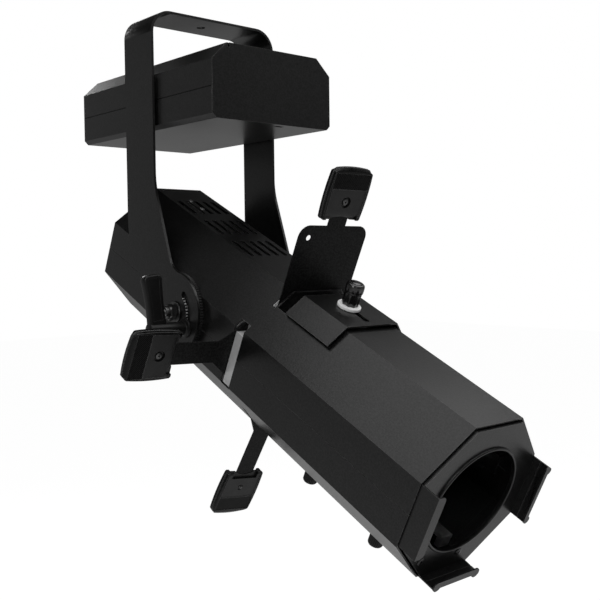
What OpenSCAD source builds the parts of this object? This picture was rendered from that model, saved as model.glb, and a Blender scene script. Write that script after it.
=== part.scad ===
// LED profile spot: an octagonal sheet-metal barrel hung in a flat-bar yoke,
// with the driver box held between the yoke arms.
// The origin is the clamp bolt hole in the yoke strap, on its top face. The lens looks along -Y
// at zero tilt and is tilted down by tilt_rest. Barrel parts are drawn about the tilt axis,
// with "along" as the distance forward from that axis.

/* [Barrel] */
// Width of the octagonal barrel across its flats
barrel_w = 160; // [156:1:170]
// Tilt axis to the front edge of the barrel shells
barrel_front = 371; // [364:1:400]
// Tilt axis to the rear edge of the barrel shells
barrel_rear = 174; // [170:1:186]
// Sheet thickness of the shells
shell_t = 1.5; // [1:0.1:2]
// Downward tilt of the barrel at rest, degrees
tilt_rest = 25.2; // [0:0.1:60]
// Height of the joggled lap inside the seam between the two shells
lap_h = 10; // [6:1:16]

/* [Vents] */
// Slots side by side in each vent group
vent_count = 5; // [3:1:5]
// Groups of vent slots along the barrel
vent_groups = 3; // [1:1:3]
// Distance between neighbouring vent slots
vent_pitch = 12; // [9:0.5:13]
// Width of one vent slot
vent_w = 6; // [3:0.5:7]
// Length of one vent slot
vent_len = 41; // [20:1:48]
// Distance between neighbouring groups
vent_group_pitch = 60; // [55:1:62]
// Along position of the front end of the front group
vent_front = 27; // [10:1:34]

/* [Front plate and frame holders] */
// Clear diameter of the lens opening
opening_d = 107; // [90:1:112]
// How far the front plate stands ahead of the shells
plate_proud = 3; // [2:0.5:8]
// Thickness of the front plate
plate_t = 2; // [1.5:0.1:3]
// Depth of the rim that goes back into the barrel
plate_rim = 22; // [16:1:30]
// Length of each colour frame holder
holder_len = 64; // [40:1:65]
// Sheet thickness of the holders
holder_t = 1.5; // [1:0.1:1.8]
// Clear depth of the channel for the colour frame
channel_depth = 16; // [8:0.5:18]
// Height of the turned lip of the left holder
left_lip = 10.5; // [5:0.5:11]
// Height of the turned lip of the right holder
right_lip = 5; // [4:0.5:11]
// Height of the turned lip of the bottom holder
bottom_lip = 7; // [4:0.5:10]

/* [Yoke] */
// Width of the flat bar
bar_w = 59; // [56:1:66]
// Thickness of the flat bar
bar_t = 3; // [2.5:0.1:4]
// Top face of the strap down to the tilt axis
pivot_drop = 340; // [335:1:360]
// Tilt axis ahead of the clamp bolt hole
pivot_ahead = 68.5; // [62:0.5:72]
// Inside radius of the two top bends
bend_r = 23; // [15:1:30]
// Radius of the round lobe at the lower end of each arm
lobe_r = 44; // [41:1:48]
// Clamp bolt hole, for an M10 bolt
clamp_hole_d = 10.5; // [10.5:0.5:14]

/* [Tilt lock] */
// Diameter of the two pivot bolts
pivot_d = 10; // [8:0.5:12]
// Radial clearance of the bolts in the yoke
pivot_clear = 0.05; // [0.03:0.01:0.08]
// Thickness of the friction discs
disc_t = 4.9; // [4:0.1:6]
// Radius of the arc that the clamping stud follows
arc_r = 25.5; // [24:0.5:28]
// Diameter of the clamping stud
stud_d = 8; // [6:0.5:9]
// Radial clearance of the stud in its arc slot
stud_clear = 0.4; // [0.3:0.05:0.6]
// Place of the stud below the barrel's centre line, degrees
stud_below = 16; // [12:1:20]
// Furthest tilt above horizontal, degrees
tilt_up = 5; // [0:1:5]
// Furthest tilt below horizontal, degrees
tilt_down = 90; // [70:1:90]
// Length of the clamping lever's hub
lever_hub_len = 46; // [40:1:54]
// Stud axis to the tip of the lever
lever_reach = 58; // [45:1:60]

/* [Driver box] */
// Thickness of the spacers between the driver box and the yoke arms
spacer_t = 2.5; // [2:0.1:4]
// Length of the driver box along Y
box_len = 281; // [250:1:300]
// Height of the driver box
box_h = 80; // [70:1:86]
// Sheet thickness of the driver box
box_t = 1.5; // [1:0.1:2]
// Width of the two top chamfers
box_chamfer_x = 20; // [12:0.5:24]
// Height of the two top chamfers
box_chamfer_z = 18.5; // [12:0.5:22]
// Size of the two small bottom chamfers
box_foot_chamfer = 4.7; // [3:0.1:6]
// Underside of the strap down to the top of the box
box_below_strap = 52; // [48:1:58]
// Front face of the box ahead of the clamp bolt hole
box_ahead = 138; // [128:1:146]
// Height of the seam above the bottom of the box
seam_h = 33; // [28:1:40]

/* [Shutters] */
// Gate aperture diameter
gate_d = 72; // [60:1:74]
// Along position of the rear face of the gate core
core_rear = 96.6; // [95:0.1:98]
// Thickness of the gate core
core_t = 12; // [10:0.5:14]
// Thickness of the separator plates
separator_t = 1; // [0.8:0.1:1.4]
// Thickness of the retaining plates
retainer_t = 2; // [1.5:0.1:2.5]
// Blade thickness
blade_t = 1; // [0.8:0.1:1.2]
// Clearance on each face of a blade
blade_gap = 0.3; // [0.25:0.05:0.4]
// Edge of a blade's wide part to the axis of the tie screws beside it
blade_to_tie = 6; // [5:0.5:9]
// Half width of a blade's neck
neck_half = 12.5; // [10:0.5:14]
// Inner edge of an open blade, from the optical axis
blade_inner = 38; // [37:0.5:42]
// Outer end of the top blade's wide part
top_blade_out = 152.5; // [130:0.5:154]
// Outer end of the sloping shoulders on the other blades
shoulder_out = 98; // [94:0.5:102]
// Optical axis to the inner end of the top grip
top_grip_at = 160; // [158:0.5:164]
// Optical axis to the inner end of the left and right grips
side_grip_at = 148; // [147:0.5:156]
// Optical axis to the inner end of the bottom grip
bottom_grip_at = 151; // [147:0.5:156]
// Travel of each shutter
shutter_travel = 55; // [40:1:56]
// Swivel of the left shutter at rest, degrees
left_swivel = 2.5; // [0:0.5:8]
// Downward swivel of the right shutter at rest, degrees
right_swivel = 8.4; // [0:0.1:8.4]
// Swivel of the bottom shutter at rest, degrees
bottom_swivel = 8.4; // [0:0.1:8.4]
// Length of a grip
grip_len = 56; // [48:1:60]
// Width of a grip
grip_w = 54; // [46:1:58]
// Thickness of a grip
grip_t = 9; // [8:0.5:11]
// Ribs on the gripping band
grip_ribs = 7; // [4:1:9]

/* [Accessory slot cover] */
// Along position of the cover's rear edge at rest
cover_rear = 133; // [132:0.5:135]
// Length of the cover along the barrel
cover_len = 68; // [62:1:74]
// Sheet thickness of the cover
cover_t = 1.5; // [1:0.1:2]
// Height of the cover's inside over the barrel
cover_lift = 3.2; // [2.5:0.1:4]
// How far the cover reaches down each sloping side
cover_side = 27; // [20:0.5:32]
// Travel of the cover
cover_travel = 17; // [10:0.5:17]
// Clear length of the accessory slot along the barrel
accessory_gap = 14; // [10:0.5:15]
// Width of the accessory slot
accessory_w = 100; // [60:1:102]
// Along position of the thumb knob
cover_knob_at = 163; // [161:0.5:165]
// Diameter of the thumb knob
cover_knob_d = 20; // [18:0.5:24]
// Height of the thumb knob
cover_knob_h = 23; // [18:0.5:28]
// Diameter of the plain nylon washer
washer_d = 25; // [22:0.5:32]

/* [Lenses] */
// Along position of the rear lens at rest
rear_lens_at = 187; // [180:1:195]
// Along position of the front lens at rest
front_lens_at = 294; // [288:1:300]
// Diameter of the rear lens
rear_lens_d = 92; // [80:1:96]
// Diameter of the front lens
front_lens_d = 112; // [100:1:114]
// Backward travel of the rear lens
rear_lens_back = 22; // [10:1:24]
// Forward travel of the rear lens
rear_lens_fwd = 40; // [20:1:44]
// Backward travel of the front lens
front_lens_back = 22; // [10:1:24]
// Forward travel of the front lens
front_lens_fwd = 34; // [20:1:36]
// Distance from the centre line to each rail
rail_x = 26; // [24:0.5:26]
// Height of the rails' centre below the axis
rail_low = 67; // [66:0.2:68]
// Diameter of the lens knobs
lens_knob_d = 16; // [15:0.5:22]
// Height of the lens knobs
lens_knob_h = 22; // [16:0.5:24]

/* [Light engine] */
// Width of the square heat sink
sink_w = 100; // [90:1:104]
// Thickness of each fin
fin_t = 1.6; // [1.2:0.1:2.2]
// Number of fins
fin_count = 15; // [8:1:16]
// Size of the square cooling fan
fan_w = 92; // [80:1:92]
// Thickness of the fan
fan_t = 25; // [20:1:26]
// Blades on the fan rotor
fan_blades = 7; // [5:1:9]

/* [Hidden] */
$fn = 48;

// Fits and small standard gaps
seat_gap = 0.3;
slide_gap = 0.3;
cut = 1;

// Octagon of the barrel
half_w = barrel_w / 2;
flat_half = half_w * tan(22.5);
inner_half = half_w - shell_t;
barrel_len = barrel_front + barrel_rear;

// Yoke
arm_in = half_w + disc_t + seat_gap;
arm_out = arm_in + bar_t;
yoke_w = 2 * arm_out;
arm_front_y = -bar_w / 2;
arm_rear_y = bar_w / 2;

// Driver box
box_w = 2 * (arm_in - spacer_t);
box_top = -bar_t - box_below_strap;
box_bottom = box_top - box_h;
box_front_y = -box_ahead;
box_rear_y = box_front_y + box_len;
seam_z = box_bottom + seam_h;

// Shutter planes, as distances along the barrel to the rear face of each blade
pitch_gap = blade_t + 2 * blade_gap;
left_plane = core_rear - blade_gap - blade_t;
rear_separator_at = core_rear - pitch_gap - separator_t;
right_plane = rear_separator_at - blade_gap - blade_t;
rear_retainer_at = rear_separator_at - pitch_gap - retainer_t;
core_front = core_rear + core_t;
bottom_plane = core_front + blade_gap;
front_separator_at = core_front + pitch_gap;
top_plane = front_separator_at + separator_t + blade_gap;
front_retainer_at = front_separator_at + separator_t + pitch_gap;
gate_front = front_retainer_at + retainer_t;

// Turns a shape drawn about the tilt axis into its place on the light
module on_barrel() {
    translate([0, -pivot_ahead, -pivot_drop]) rotate([tilt_rest, 0, 0]) children();
}

// Extrudes a sketch (x to the right, y up) forward along the barrel from at
module axial(at, thick) {
    translate([0, -at, 0]) rotate([90, 0, 0]) linear_extrude(thick) children();
}

// Round bar along the barrel from at
module axial_rod(at, length, d) {
    translate([0, -at, 0]) rotate([90, 0, 0]) cylinder(h = length, d = d);
}

// Round bar along X from x0
module cross_rod(x0, length, d) {
    translate([x0, 0, 0]) rotate([0, 90, 0]) cylinder(h = length, d = d);
}

// Octagon across flats w
module octagon(w) {
    a = w / 2 * tan(22.5);
    h = w / 2;
    polygon([[-a, h], [a, h], [h, a], [h, -a], [a, -h], [-a, -h], [-h, -a], [-h, a]]);
}

// Slot with round ends along y
module slot_2d(length, width) {
    for (y = [width / 2, length - width / 2]) translate([0, y]) circle(d = width);
    translate([-width / 2, width / 2]) square([width, length - width]);
}

// Yoke

// Upper outline of the yoke strap: a square arch with round corners
module arch_2d(w, r, drop) {
    translate([-w / 2, -drop]) square([w, drop - r]);
    translate([-w / 2 + r, -r - cut]) square([w - 2 * r, r + cut]);
    for (side = [-1, 1]) translate([side * (w / 2 - r), -r]) circle(r = r);
}

// Arm outline, seen from the side: y behind the tilt axis, then height above it
arm_knee = 143;
arm_join = 160;
arm_sweep_r = 127;
arm_sweep_z = 110;
knee_r = 90;
lobe_fillet = 26;
bar_front = pivot_ahead - bar_w / 2;
bar_rear = pivot_ahead + bar_w / 2;

// The front edge leans forward below the knee
lean = [-0.325, -0.9457];
lean_normal = [-lean[1], lean[0]];

function leaning(z) = bar_front + (z - arm_knee) * lean[0] / lean[1];

// Rounds an inner corner: the patch minus a circle that just crosses both edges
edge_overlap = 0.03;

module fillet_2d(patch, centre, r) {
    difference() {
        polygon(patch);
        translate(centre) circle(r = r + edge_overlap);
    }
}

module arm_foot_2d() {
    sweep_c = [bar_rear - arm_sweep_r, arm_sweep_z];
    knee = [bar_front, arm_knee];
    far = bar_rear + 20;
    circle(r = lobe_r);
    polygon([[bar_front, arm_join], knee, [leaning(arm_sweep_z - 1), arm_sweep_z - 1],
        [bar_rear - 2, arm_sweep_z - 1], [bar_rear, arm_sweep_z], [bar_rear, arm_join]]);
    intersection() {
        translate(sweep_c) circle(r = arm_sweep_r);
        polygon([[leaning(arm_sweep_z), arm_sweep_z], [leaning(lobe_r - 4), lobe_r - 4], [0, 0],
            [far, 0], [far, arm_sweep_z]]);
    }

    knee_reach = knee_r * tan(acos(-lean[1]) / 2);
    knee_high = knee + [0, knee_reach];
    knee_low = knee + knee_reach * lean;
    fillet_2d([knee_high, knee_high + [5, 0], knee_low + [5, 0], knee_low],
        knee_high - [knee_r, 0], knee_r);

    line_off = knee * lean_normal - lobe_fillet;
    front_c = line_off * lean_normal
        - sqrt(pow(lobe_r + lobe_fillet, 2) - pow(line_off, 2)) * lean;
    fillet_2d([[0, 0], front_c * lobe_r / (lobe_r + lobe_fillet), front_c,
        front_c + lobe_fillet * lean_normal], front_c, lobe_fillet);

    d = norm(sweep_c);
    a = (pow(lobe_r + lobe_fillet, 2) - pow(arm_sweep_r + lobe_fillet, 2) + d * d) / (2 * d);
    h = sqrt(pow(lobe_r + lobe_fillet, 2) - a * a);
    rear_c = a * sweep_c / d + h * [sweep_c[1], -sweep_c[0]] / d;
    fillet_2d([[0, 0], rear_c * lobe_r / (lobe_r + lobe_fillet), rear_c,
        sweep_c + (rear_c - sweep_c) * arm_sweep_r / (arm_sweep_r + lobe_fillet)],
        rear_c, lobe_fillet);
}

// Angles of the arc slot's ends, from straight ahead, positive upward
slot_low = -stud_below - tilt_down - 2;
slot_high = 47;

// Curved slot of the clamping stud, seen from the side
module arc_slot_2d() {
    slot_half = stud_d / 2 + stud_clear;
    mid = (slot_low + slot_high) / 2;
    reach = 3 * arc_r;
    for (a = [slot_low, slot_high])
        translate([-arc_r * cos(a), arc_r * sin(a)]) circle(r = slot_half - edge_overlap);
    intersection() {
        difference() {
            circle(r = arc_r + slot_half);
            circle(r = arc_r - slot_half);
        }
        polygon(concat([[0, 0]], [for (k = [0:1:6])
            let (a = slot_low + (slot_high - slot_low) * k / 6)
            [-reach * cos(a), reach * sin(a)]]));
    }
}

// Side sketch (y, z about the tilt axis) made into a plate from x0
module side_plate(x0, thick) {
    translate([x0, -pivot_ahead, -pivot_drop]) rotate([90, 0, 90]) linear_extrude(thick)
        children();
}

// Countersunk screws that hold the driver box in the arms
mount_screw_y = 16;
mount_screw_z = seam_z + 14;
mount_screw_d = 5;
mount_hole_d = 5.5;
screw_head_d = 10;
screw_head_h = 2.4;

module at_mount_screws() {
    for (side = [0, 1], y = [-mount_screw_y, mount_screw_y]) mirror([side, 0, 0])
        translate([0, y, mount_screw_z]) children();
}

// Cone along X that grows outward to x1
module cross_cone(x1, length, d_in, d_out) {
    translate([x1 - length, 0, 0]) rotate([0, 90, 0]) cylinder(h = length, d1 = d_in, d2 = d_out);
}

module yoke() color([0.1, 0.1, 0.105]) {
    bore_d = pivot_d + 2 * pivot_clear;
    difference() {
        union() {
            translate([0, bar_w / 2, 0]) rotate([90, 0, 0]) linear_extrude(bar_w)
                difference() {
                    arch_2d(yoke_w, bend_r + bar_t, pivot_drop - arm_join);
                    translate([0, -bar_t]) arch_2d(yoke_w - 2 * bar_t, bend_r, pivot_drop);
                }
            for (x0 = [-arm_out, arm_in]) side_plate(x0, bar_t) arm_foot_2d();
        }
        translate([0, 0, -bar_t - cut]) cylinder(h = bar_t + 2 * cut, d = clamp_hole_d);
        translate([0, -pivot_ahead, -pivot_drop])
            cross_rod(-arm_out - cut, yoke_w + 2 * cut, bore_d);
        side_plate(-arm_out - cut, bar_t + 2 * cut) arc_slot_2d();
        at_mount_screws() {
            cross_rod(arm_in - cut, bar_t + 2 * cut, mount_hole_d);
            cross_cone(arm_out + 0.1, screw_head_h + 0.2, mount_hole_d, screw_head_d + 0.3);
        }
    }
}

// Driver box

// Outline of the box end, inset by d from the outside
module box_outline_2d(d) {
    w = box_w / 2 - d;
    top = box_top - d;
    low = box_bottom + d;
    cx = box_chamfer_x - 0.61 * d;
    cz = box_chamfer_z - 0.56 * d;
    f = box_foot_chamfer - 0.59 * d;
    polygon([[-w + cx, top], [w - cx, top], [w, top - cz], [w, low + f], [w - f, low],
        [-w + f, low], [-w, low + f], [-w, top - cz]]);
}

end_t = 2;
box_body_len = box_len - 2 * end_t;
seam_line = 0.6;
box_lap = 8;

// Extrudes an (x, z) sketch backward along Y from y0
module box_extrude(y0, length) {
    translate([0, y0 + length, 0]) rotate([90, 0, 0]) linear_extrude(length) children();
}

module box_ring_2d() {
    difference() {
        box_outline_2d(0);
        box_outline_2d(box_t);
    }
}

module box_screw_holes() {
    at_mount_screws() cross_rod(box_w / 2 - box_t - cut, box_t + 2 * cut, mount_hole_d);
}

module driver_cover() color([0.11, 0.11, 0.115]) difference() {
    box_extrude(box_front_y + end_t, box_body_len) intersection() {
        box_ring_2d();
        translate([-box_w, seam_z + seam_line]) square([2 * box_w, box_h]);
    }
    box_screw_holes();
}

// The small slot in the tray lies near its front edge
tray_slot_x = 16;
tray_slot_y = box_front_y + 12;
tray_slot_len = 10;
tray_slot_w = 6;
board_w = 118;
board_len = 220;
board_t = 1.6;
board_lift = 8;
board_post_d = 7;

// Places of the circuit board's posts
module at_posts() {
    for (x = [-1, 1], y = [-1, 1])
        translate([x * (board_w / 2 - 8), box_front_y + box_len / 2 + y * (board_len / 2 - 10), 0])
            children();
}

module driver_tray() color([0.11, 0.11, 0.115]) difference() {
    union() {
        box_extrude(box_front_y + end_t, box_body_len) {
            intersection() {
                box_ring_2d();
                translate([-box_w, box_bottom - cut]) square([2 * box_w, seam_h + cut]);
            }
            for (side = [0, 1]) mirror([side, 0])
                translate([box_w / 2 - 2 * box_t, seam_z - box_lap])
                    square([box_t, 2 * box_lap]);
        }
        at_posts() translate([0, 0, box_bottom + box_t - 0.01])
            cylinder(h = board_lift + 0.01, d = board_post_d);
    }
    translate([tray_slot_x - tray_slot_len / 2, tray_slot_y - tray_slot_w / 2, box_bottom - cut])
        cube([tray_slot_len, tray_slot_w, box_t + 2 * cut]);
}

// Relief notch where the front plate's left chamfer meets its top edge
relief_w = 2.2;
relief_h = 5;

module driver_front_plate() color([0.1, 0.1, 0.105])
    box_extrude(box_front_y, end_t) difference() {
        box_outline_2d(0);
        translate([-box_w / 2 + box_chamfer_x + 0.3, box_top - relief_h])
            square([relief_w, relief_h + cut]);
    }

// Places on the rear plate, seen from behind with x to the right of the light
inlet_x = -56;
socket_x = [-24, 6];
socket_z = box_bottom + 22;
socket_d = 24;
flange_w = 26;
flange_h = 31;
display_x = -42;
display_z = box_bottom + 57;
display_w = 44;
display_h = 18;
button_x = -4;
button_pitch = 14;
button_d = 8;
button_z = display_z;
button_clear = 0.4;
gland_x = 52;
gland_z = socket_z;
gland_d = 16;

module driver_rear_plate() color([0.1, 0.1, 0.105]) difference() {
    box_extrude(box_rear_y - end_t, end_t) box_outline_2d(0);
    for (x = concat([inlet_x], socket_x)) translate([x, box_rear_y - end_t - cut, socket_z])
        rotate([-90, 0, 0]) cylinder(h = end_t + 2 * cut, d = socket_d + 0.4);
    for (k = [0:1:3]) translate([button_x + k * button_pitch, box_rear_y - end_t - cut, button_z])
        rotate([-90, 0, 0]) cylinder(h = end_t + 2 * cut, d = button_d + 2 * button_clear);
    translate([display_x - display_w / 2, box_rear_y - end_t - cut, display_z - display_h / 2])
        cube([display_w, end_t + 2 * cut, display_h]);
    translate([gland_x, box_rear_y - end_t - cut, gland_z])
        rotate([-90, 0, 0]) cylinder(h = end_t + 2 * cut, d = gland_d - 3.6);
}

// Parts on the circuit board, from its left front corner
transformer = [42, 46, 32];
heat_spreader = [6, 90, 34];
mains_filter = [36, 30, 24];
regulator = [26, 44, 18];
big_can_d = 18;
big_can_h = 30;
small_can_d = 10;
small_can_h = 16;

module driver_board() color([0.1, 0.35, 0.2]) translate([-board_w / 2,
    box_front_y + (box_len - board_len) / 2, box_bottom + box_t + board_lift]) {
    cube([board_w, board_len, board_t]);
    translate([0, 0, board_t - 0.01]) {
        translate([15, 24, 0]) cube(transformer);
        translate([board_w - 47, 18, 0]) cube(heat_spreader);
        translate([13, 96, 0]) cube(mains_filter);
        translate([board_w - 39, board_len - 80, 0]) cube(regulator);
        for (k = [0:1:3]) translate([board_w - 23, 30 + 24 * k, 0])
            cylinder(h = big_can_h, d = big_can_d);
        for (k = [0:1:2]) translate([25 + 16 * k, board_len - 62, 0])
            cylinder(h = small_can_h, d = small_can_d);
    }
}

// Flanged panel socket with its face to the rear; the well is sunk by depth
module panel_socket(x, well_d, depth) {
    translate([x, box_rear_y, socket_z]) {
        difference() {
            union() {
                translate([-flange_w / 2, 0, -flange_h / 2]) cube([flange_w, 2, flange_h]);
                translate([0, -20, 0]) rotate([-90, 0, 0]) cylinder(h = 20.01, d = socket_d);
            }
            translate([0, 2 - depth, 0]) rotate([-90, 0, 0]) cylinder(h = depth + cut, d = well_d);
            for (side = [-1, 1]) translate([side * 9.5, -cut, side * 12])
                rotate([-90, 0, 0]) cylinder(h = 4, d = 3.2);
        }
        children();
    }
}

module power_inlet() color([0.12, 0.2, 0.45]) panel_socket(inlet_x, 20, 14)
    translate([0, -13, 0]) rotate([-90, 0, 0]) cylinder(h = 12, d = 8);

module data_sockets() color([0.13, 0.13, 0.13]) {
    for (x = socket_x) panel_socket(x, 16, 10) {
        for (k = [0:1:4]) rotate([0, -50 - 65 * k, 0]) translate([5.2, -9, 0])
            rotate([-90, 0, 0]) cylinder(h = 6.5, d = 1.8, $fn = 16);
    }
}

module display_window() color([0.05, 0.06, 0.07]) {
    translate([display_x - display_w / 2 + 0.2, box_rear_y - end_t - 0.5,
        display_z - display_h / 2 + 0.2]) cube([display_w - 0.4, end_t + 0.9, display_h - 0.4]);
    translate([display_x - display_w / 2 - 2, box_rear_y - end_t - 2, display_z - display_h / 2 - 2])
        cube([display_w + 4, 2, display_h + 4]);
}

button_travel = 0.8;
button_stand = 2;
button_flange_t = 1.2;

// Push button number k, with a flange inside the panel
module menu_button(k) color([0.2, 0.2, 0.21])
    translate([button_x + k * button_pitch, box_rear_y - end_t, button_z]) rotate([-90, 0, 0]) {
        translate([0, 0, -button_flange_t - seat_gap])
            cylinder(h = button_flange_t, d = button_d + 3);
        translate([0, 0, -button_flange_t]) cylinder(h = button_flange_t + end_t + button_stand,
            d = button_d);
    }

module menu_button_up() menu_button(0);
module menu_button_down() menu_button(1);
module menu_button_enter() menu_button(2);
module menu_button_back() menu_button(3);

spacer_d = 16;

module driver_spacers() color([0.55, 0.55, 0.56]) at_mount_screws() difference() {
    cross_rod(box_w / 2, spacer_t, spacer_d);
    cross_rod(box_w / 2 - cut, spacer_t + 2 * cut, mount_hole_d);
}

module driver_mount_screws() color([0.1, 0.1, 0.1]) at_mount_screws() {
    cross_cone(arm_out - 0.1, screw_head_h, mount_screw_d, screw_head_d);
    cross_rod(box_w / 2 - 8, arm_out - box_w / 2 + 8 - 1, mount_screw_d);
    translate([box_w / 2 - box_t - 4, 0, 0]) rotate([0, 90, 0]) cylinder(h = 4, d = 9, $fn = 6);
}

// Cable gland whose neck passes a wall of the given thickness, pointing along +Z
module gland(wall) {
    difference() {
        union() {
            translate([0, 0, -wall - 6]) cylinder(h = wall + 6.01, d = gland_d - 4);
            translate([0, 0, -wall - 4]) cylinder(h = 4, d = gland_d + 2, $fn = 6);
            cylinder(h = 5, d = gland_d + 2, $fn = 6);
            translate([0, 0, 4.99]) cylinder(h = 9, d1 = gland_d, d2 = gland_d - 5);
        }
        translate([0, 0, -wall - 8]) cylinder(h = wall + 26, d = 7);
    }
}

module box_cable_gland() color([0.08, 0.08, 0.08])
    translate([gland_x, box_rear_y, gland_z]) rotate([-90, 0, 0]) gland(end_t);

// Barrel shells

shutter_slot_half = 40;
left_slot_low = 36;
shutter_cut_half = 52;
shutter_cut_low = 61;
side_slot_rear = left_plane - 1.5;
side_slot_front = core_front + 1.4;
top_slot_rear = core_front - 1;
top_slot_front = top_plane + blade_t + 1.5;
accessory_rear = gate_front + 1;
accessory_floor = 62;
lens_slot_w = 7;
lens_slot_end = 6;
lens_hole_d = 6;
cover_stud_d = 6;
pivot_hole_d = pivot_d + 1;
stud_hole_d = stud_d + 1;
pivot_plate_len = 66;
pivot_plate_w = 56;
pivot_plate_t = 3;
vent_x0 = -(vent_count - 1) / 2 * vent_pitch;
vent_screw_at = [-133, -107];
vent_screw_x = vent_pitch / 2;
vent_screw_d = 3;

// Box along the barrel from one position to another, above or beside the axis
module along_box(x0, x1, from, to, low, high) {
    translate([x0, -to, low]) cube([x1 - x0, to - from, high - low]);
}

module vents() {
    for (g = [0:1:vent_groups - 1], k = [0:1:vent_count - 1])
        translate([vent_x0 + k * vent_pitch, -vent_front + g * vent_group_pitch, half_w - 5])
            linear_extrude(10) slot_2d(vent_len, vent_w);
}

module blade_slots() {
    far = half_w + 10;
    along_box(-far, -inner_half + 12, side_slot_rear, side_slot_front,
        -left_slot_low, shutter_slot_half);
    along_box(inner_half - 12, far, right_plane - 1.5, side_slot_front,
        -shutter_slot_half, shutter_slot_half);
    along_box(-shutter_cut_half, shutter_cut_half, top_slot_rear, top_slot_front,
        shutter_cut_low, far);
    along_box(-shutter_cut_half, shutter_cut_half, top_slot_rear, top_slot_front,
        -far, -shutter_cut_low);
}

// Slot in the bottom face for a lens knob, from the knob's place and its travel
module lens_slot(at, back, fwd) {
    translate([0, -at - fwd - lens_slot_w / 2, -half_w - 3]) linear_extrude(8)
        slot_2d(back + fwd + lens_slot_w, lens_slot_w);
}

// Puts a shape on the clamping stud's axis
module at_stud() {
    translate([0, -arc_r * cos(stud_below), -arc_r * sin(stud_below)]) children();
}

module shell_cuts() {
    blade_slots();
    cross_rod(-half_w - cut, 2 * half_w + 2 * cut, pivot_hole_d);
    at_stud() cross_rod(-half_w - cut, 10, stud_hole_d);
    lens_slot(rear_lens_at, rear_lens_back, rear_lens_fwd);
    lens_slot(front_lens_at, front_lens_back, front_lens_fwd);
}

module shell_ring_2d() {
    difference() {
        octagon(barrel_w);
        octagon(2 * inner_half);
    }
}

shell_seam = 0.4;

module upper_shell() color([0.11, 0.11, 0.115]) difference() {
    axial(-barrel_rear, barrel_len) intersection() {
        shell_ring_2d();
        translate([-barrel_w, shell_seam]) square([2 * barrel_w, barrel_w]);
    }
    shell_cuts();
    vents();
    along_box(-accessory_w / 2, accessory_w / 2, accessory_rear, accessory_rear + accessory_gap,
        accessory_floor, half_w + 5);
    translate([0, -cover_knob_at, half_w - 5]) cylinder(h = 10, d = cover_stud_d + 0.2);
    for (at = vent_screw_at) translate([-vent_screw_x, -at, half_w - 5])
        cylinder(h = 10, d = vent_screw_d + 0.2);
}

// The lap stops at the gate, at the pivot plates and short of both end rims
lap_runs = [[-barrel_rear + 20, -pivot_plate_len / 2 - 1], [pivot_plate_len / 2 + 1,
    rear_retainer_at - 1], [gate_front + 1, barrel_front - 30]];

module lower_shell() color([0.11, 0.11, 0.115]) difference() {
    union() {
        axial(-barrel_rear, barrel_len) intersection() {
            shell_ring_2d();
            translate([-barrel_w, -barrel_w]) square([2 * barrel_w, barrel_w]);
        }
        for (side = [0, 1], run = lap_runs) mirror([side, 0, 0])
            along_box(inner_half - shell_t, inner_half, run[0], run[1], -lap_h, lap_h);
    }
    shell_cuts();
}

// End plates and colour frame holders

pan_half = inner_half - holder_t;
plate_front = barrel_front + plate_proud;
rim_t = 1.5;
roll_d = 3;
plate_screws = [[-41, -inner_half + 21.5], [13, -inner_half + 17.5]];
plate_screw_d = 4;

module front_plate() color([0.12, 0.12, 0.125]) {
    difference() {
        union() {
            axial(plate_front - plate_t, plate_t) octagon(2 * pan_half);
            axial(plate_front - plate_rim, plate_rim) difference() {
                octagon(2 * pan_half);
                octagon(2 * (pan_half - rim_t));
            }
            translate([0, -plate_front, 0]) rotate([90, 0, 0]) rotate_extrude($fn = 96)
                translate([opening_d / 2 + roll_d / 2 - 0.3, roll_d / 2 - 0.7])
                    circle(d = roll_d, $fn = 20);
        }
        axial_rod(plate_front - plate_t - cut, plate_t + roll_d + 2 * cut, opening_d, $fn = 96);
        for (p = plate_screws) translate([p[0], 0, p[1]])
            axial_rod(plate_front - plate_t - cut, plate_t + 2 * cut, plate_screw_d + 0.2);
    }
}

holder_back = 14;
lip_corner = 5;
bend_line_at = 7;
bend_line_w = 1;
bend_line_deep = 0.3;

// Rectangle with two rounded corners on its +x side
module lip_2d(w, h, r) {
    translate([0, -h / 2]) square([w - r, h]);
    translate([w - r - 0.01, -h / 2 + r]) square([r + 0.01, h - 2 * r]);
    for (s = [-1, 1]) translate([w - r, s * (h / 2 - r)]) circle(r = r);
}

// Holder on the left side, with a shallow line across its inner face; the others are turned copies
module frame_holder(lip) {
    out = pan_half + holder_t;
    lip_at = plate_front + channel_depth;
    line = plate_front + bend_line_at;
    difference() {
        along_box(-out, -pan_half, plate_front - holder_back, lip_at + holder_t,
            -holder_len / 2, holder_len / 2);
        along_box(-pan_half - bend_line_deep, -pan_half + cut, line, line + bend_line_w,
            -holder_len, holder_len);
    }
    translate([-out, -lip_at, 0]) rotate([90, 0, 0]) linear_extrude(holder_t)
        lip_2d(lip, holder_len, min(lip_corner, lip - 1));
}

module left_frame_holder() color([0.1, 0.1, 0.105]) frame_holder(left_lip);
module right_frame_holder() color([0.1, 0.1, 0.105]) rotate([0, 180, 0]) frame_holder(right_lip);
module bottom_frame_holder() color([0.1, 0.1, 0.105]) rotate([0, -90, 0])
    frame_holder(bottom_lip);

rear_plate_t = 2;
rear_rim = 12;
grille_rings = 6;
grille_w = 4;
grille_pitch = 7;

module grille_2d() {
    difference() {
        for (k = [1:1:grille_rings]) difference() {
            circle(r = k * grille_pitch + grille_w / 2);
            circle(r = k * grille_pitch - grille_w / 2);
        }
        for (a = [0:60:120]) rotate(a) square([2 * half_w, 5], center = true);
    }
}

rear_gland_x = 0;
rear_gland_v = -inner_half + 16.5;
fan_hole = fan_w / 2 - 4.75;
fan_screw_d = 4;

module at_fan_holes() {
    for (x = [-fan_hole, fan_hole], v = [-fan_hole, fan_hole]) translate([x, 0, v]) children();
}

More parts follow.
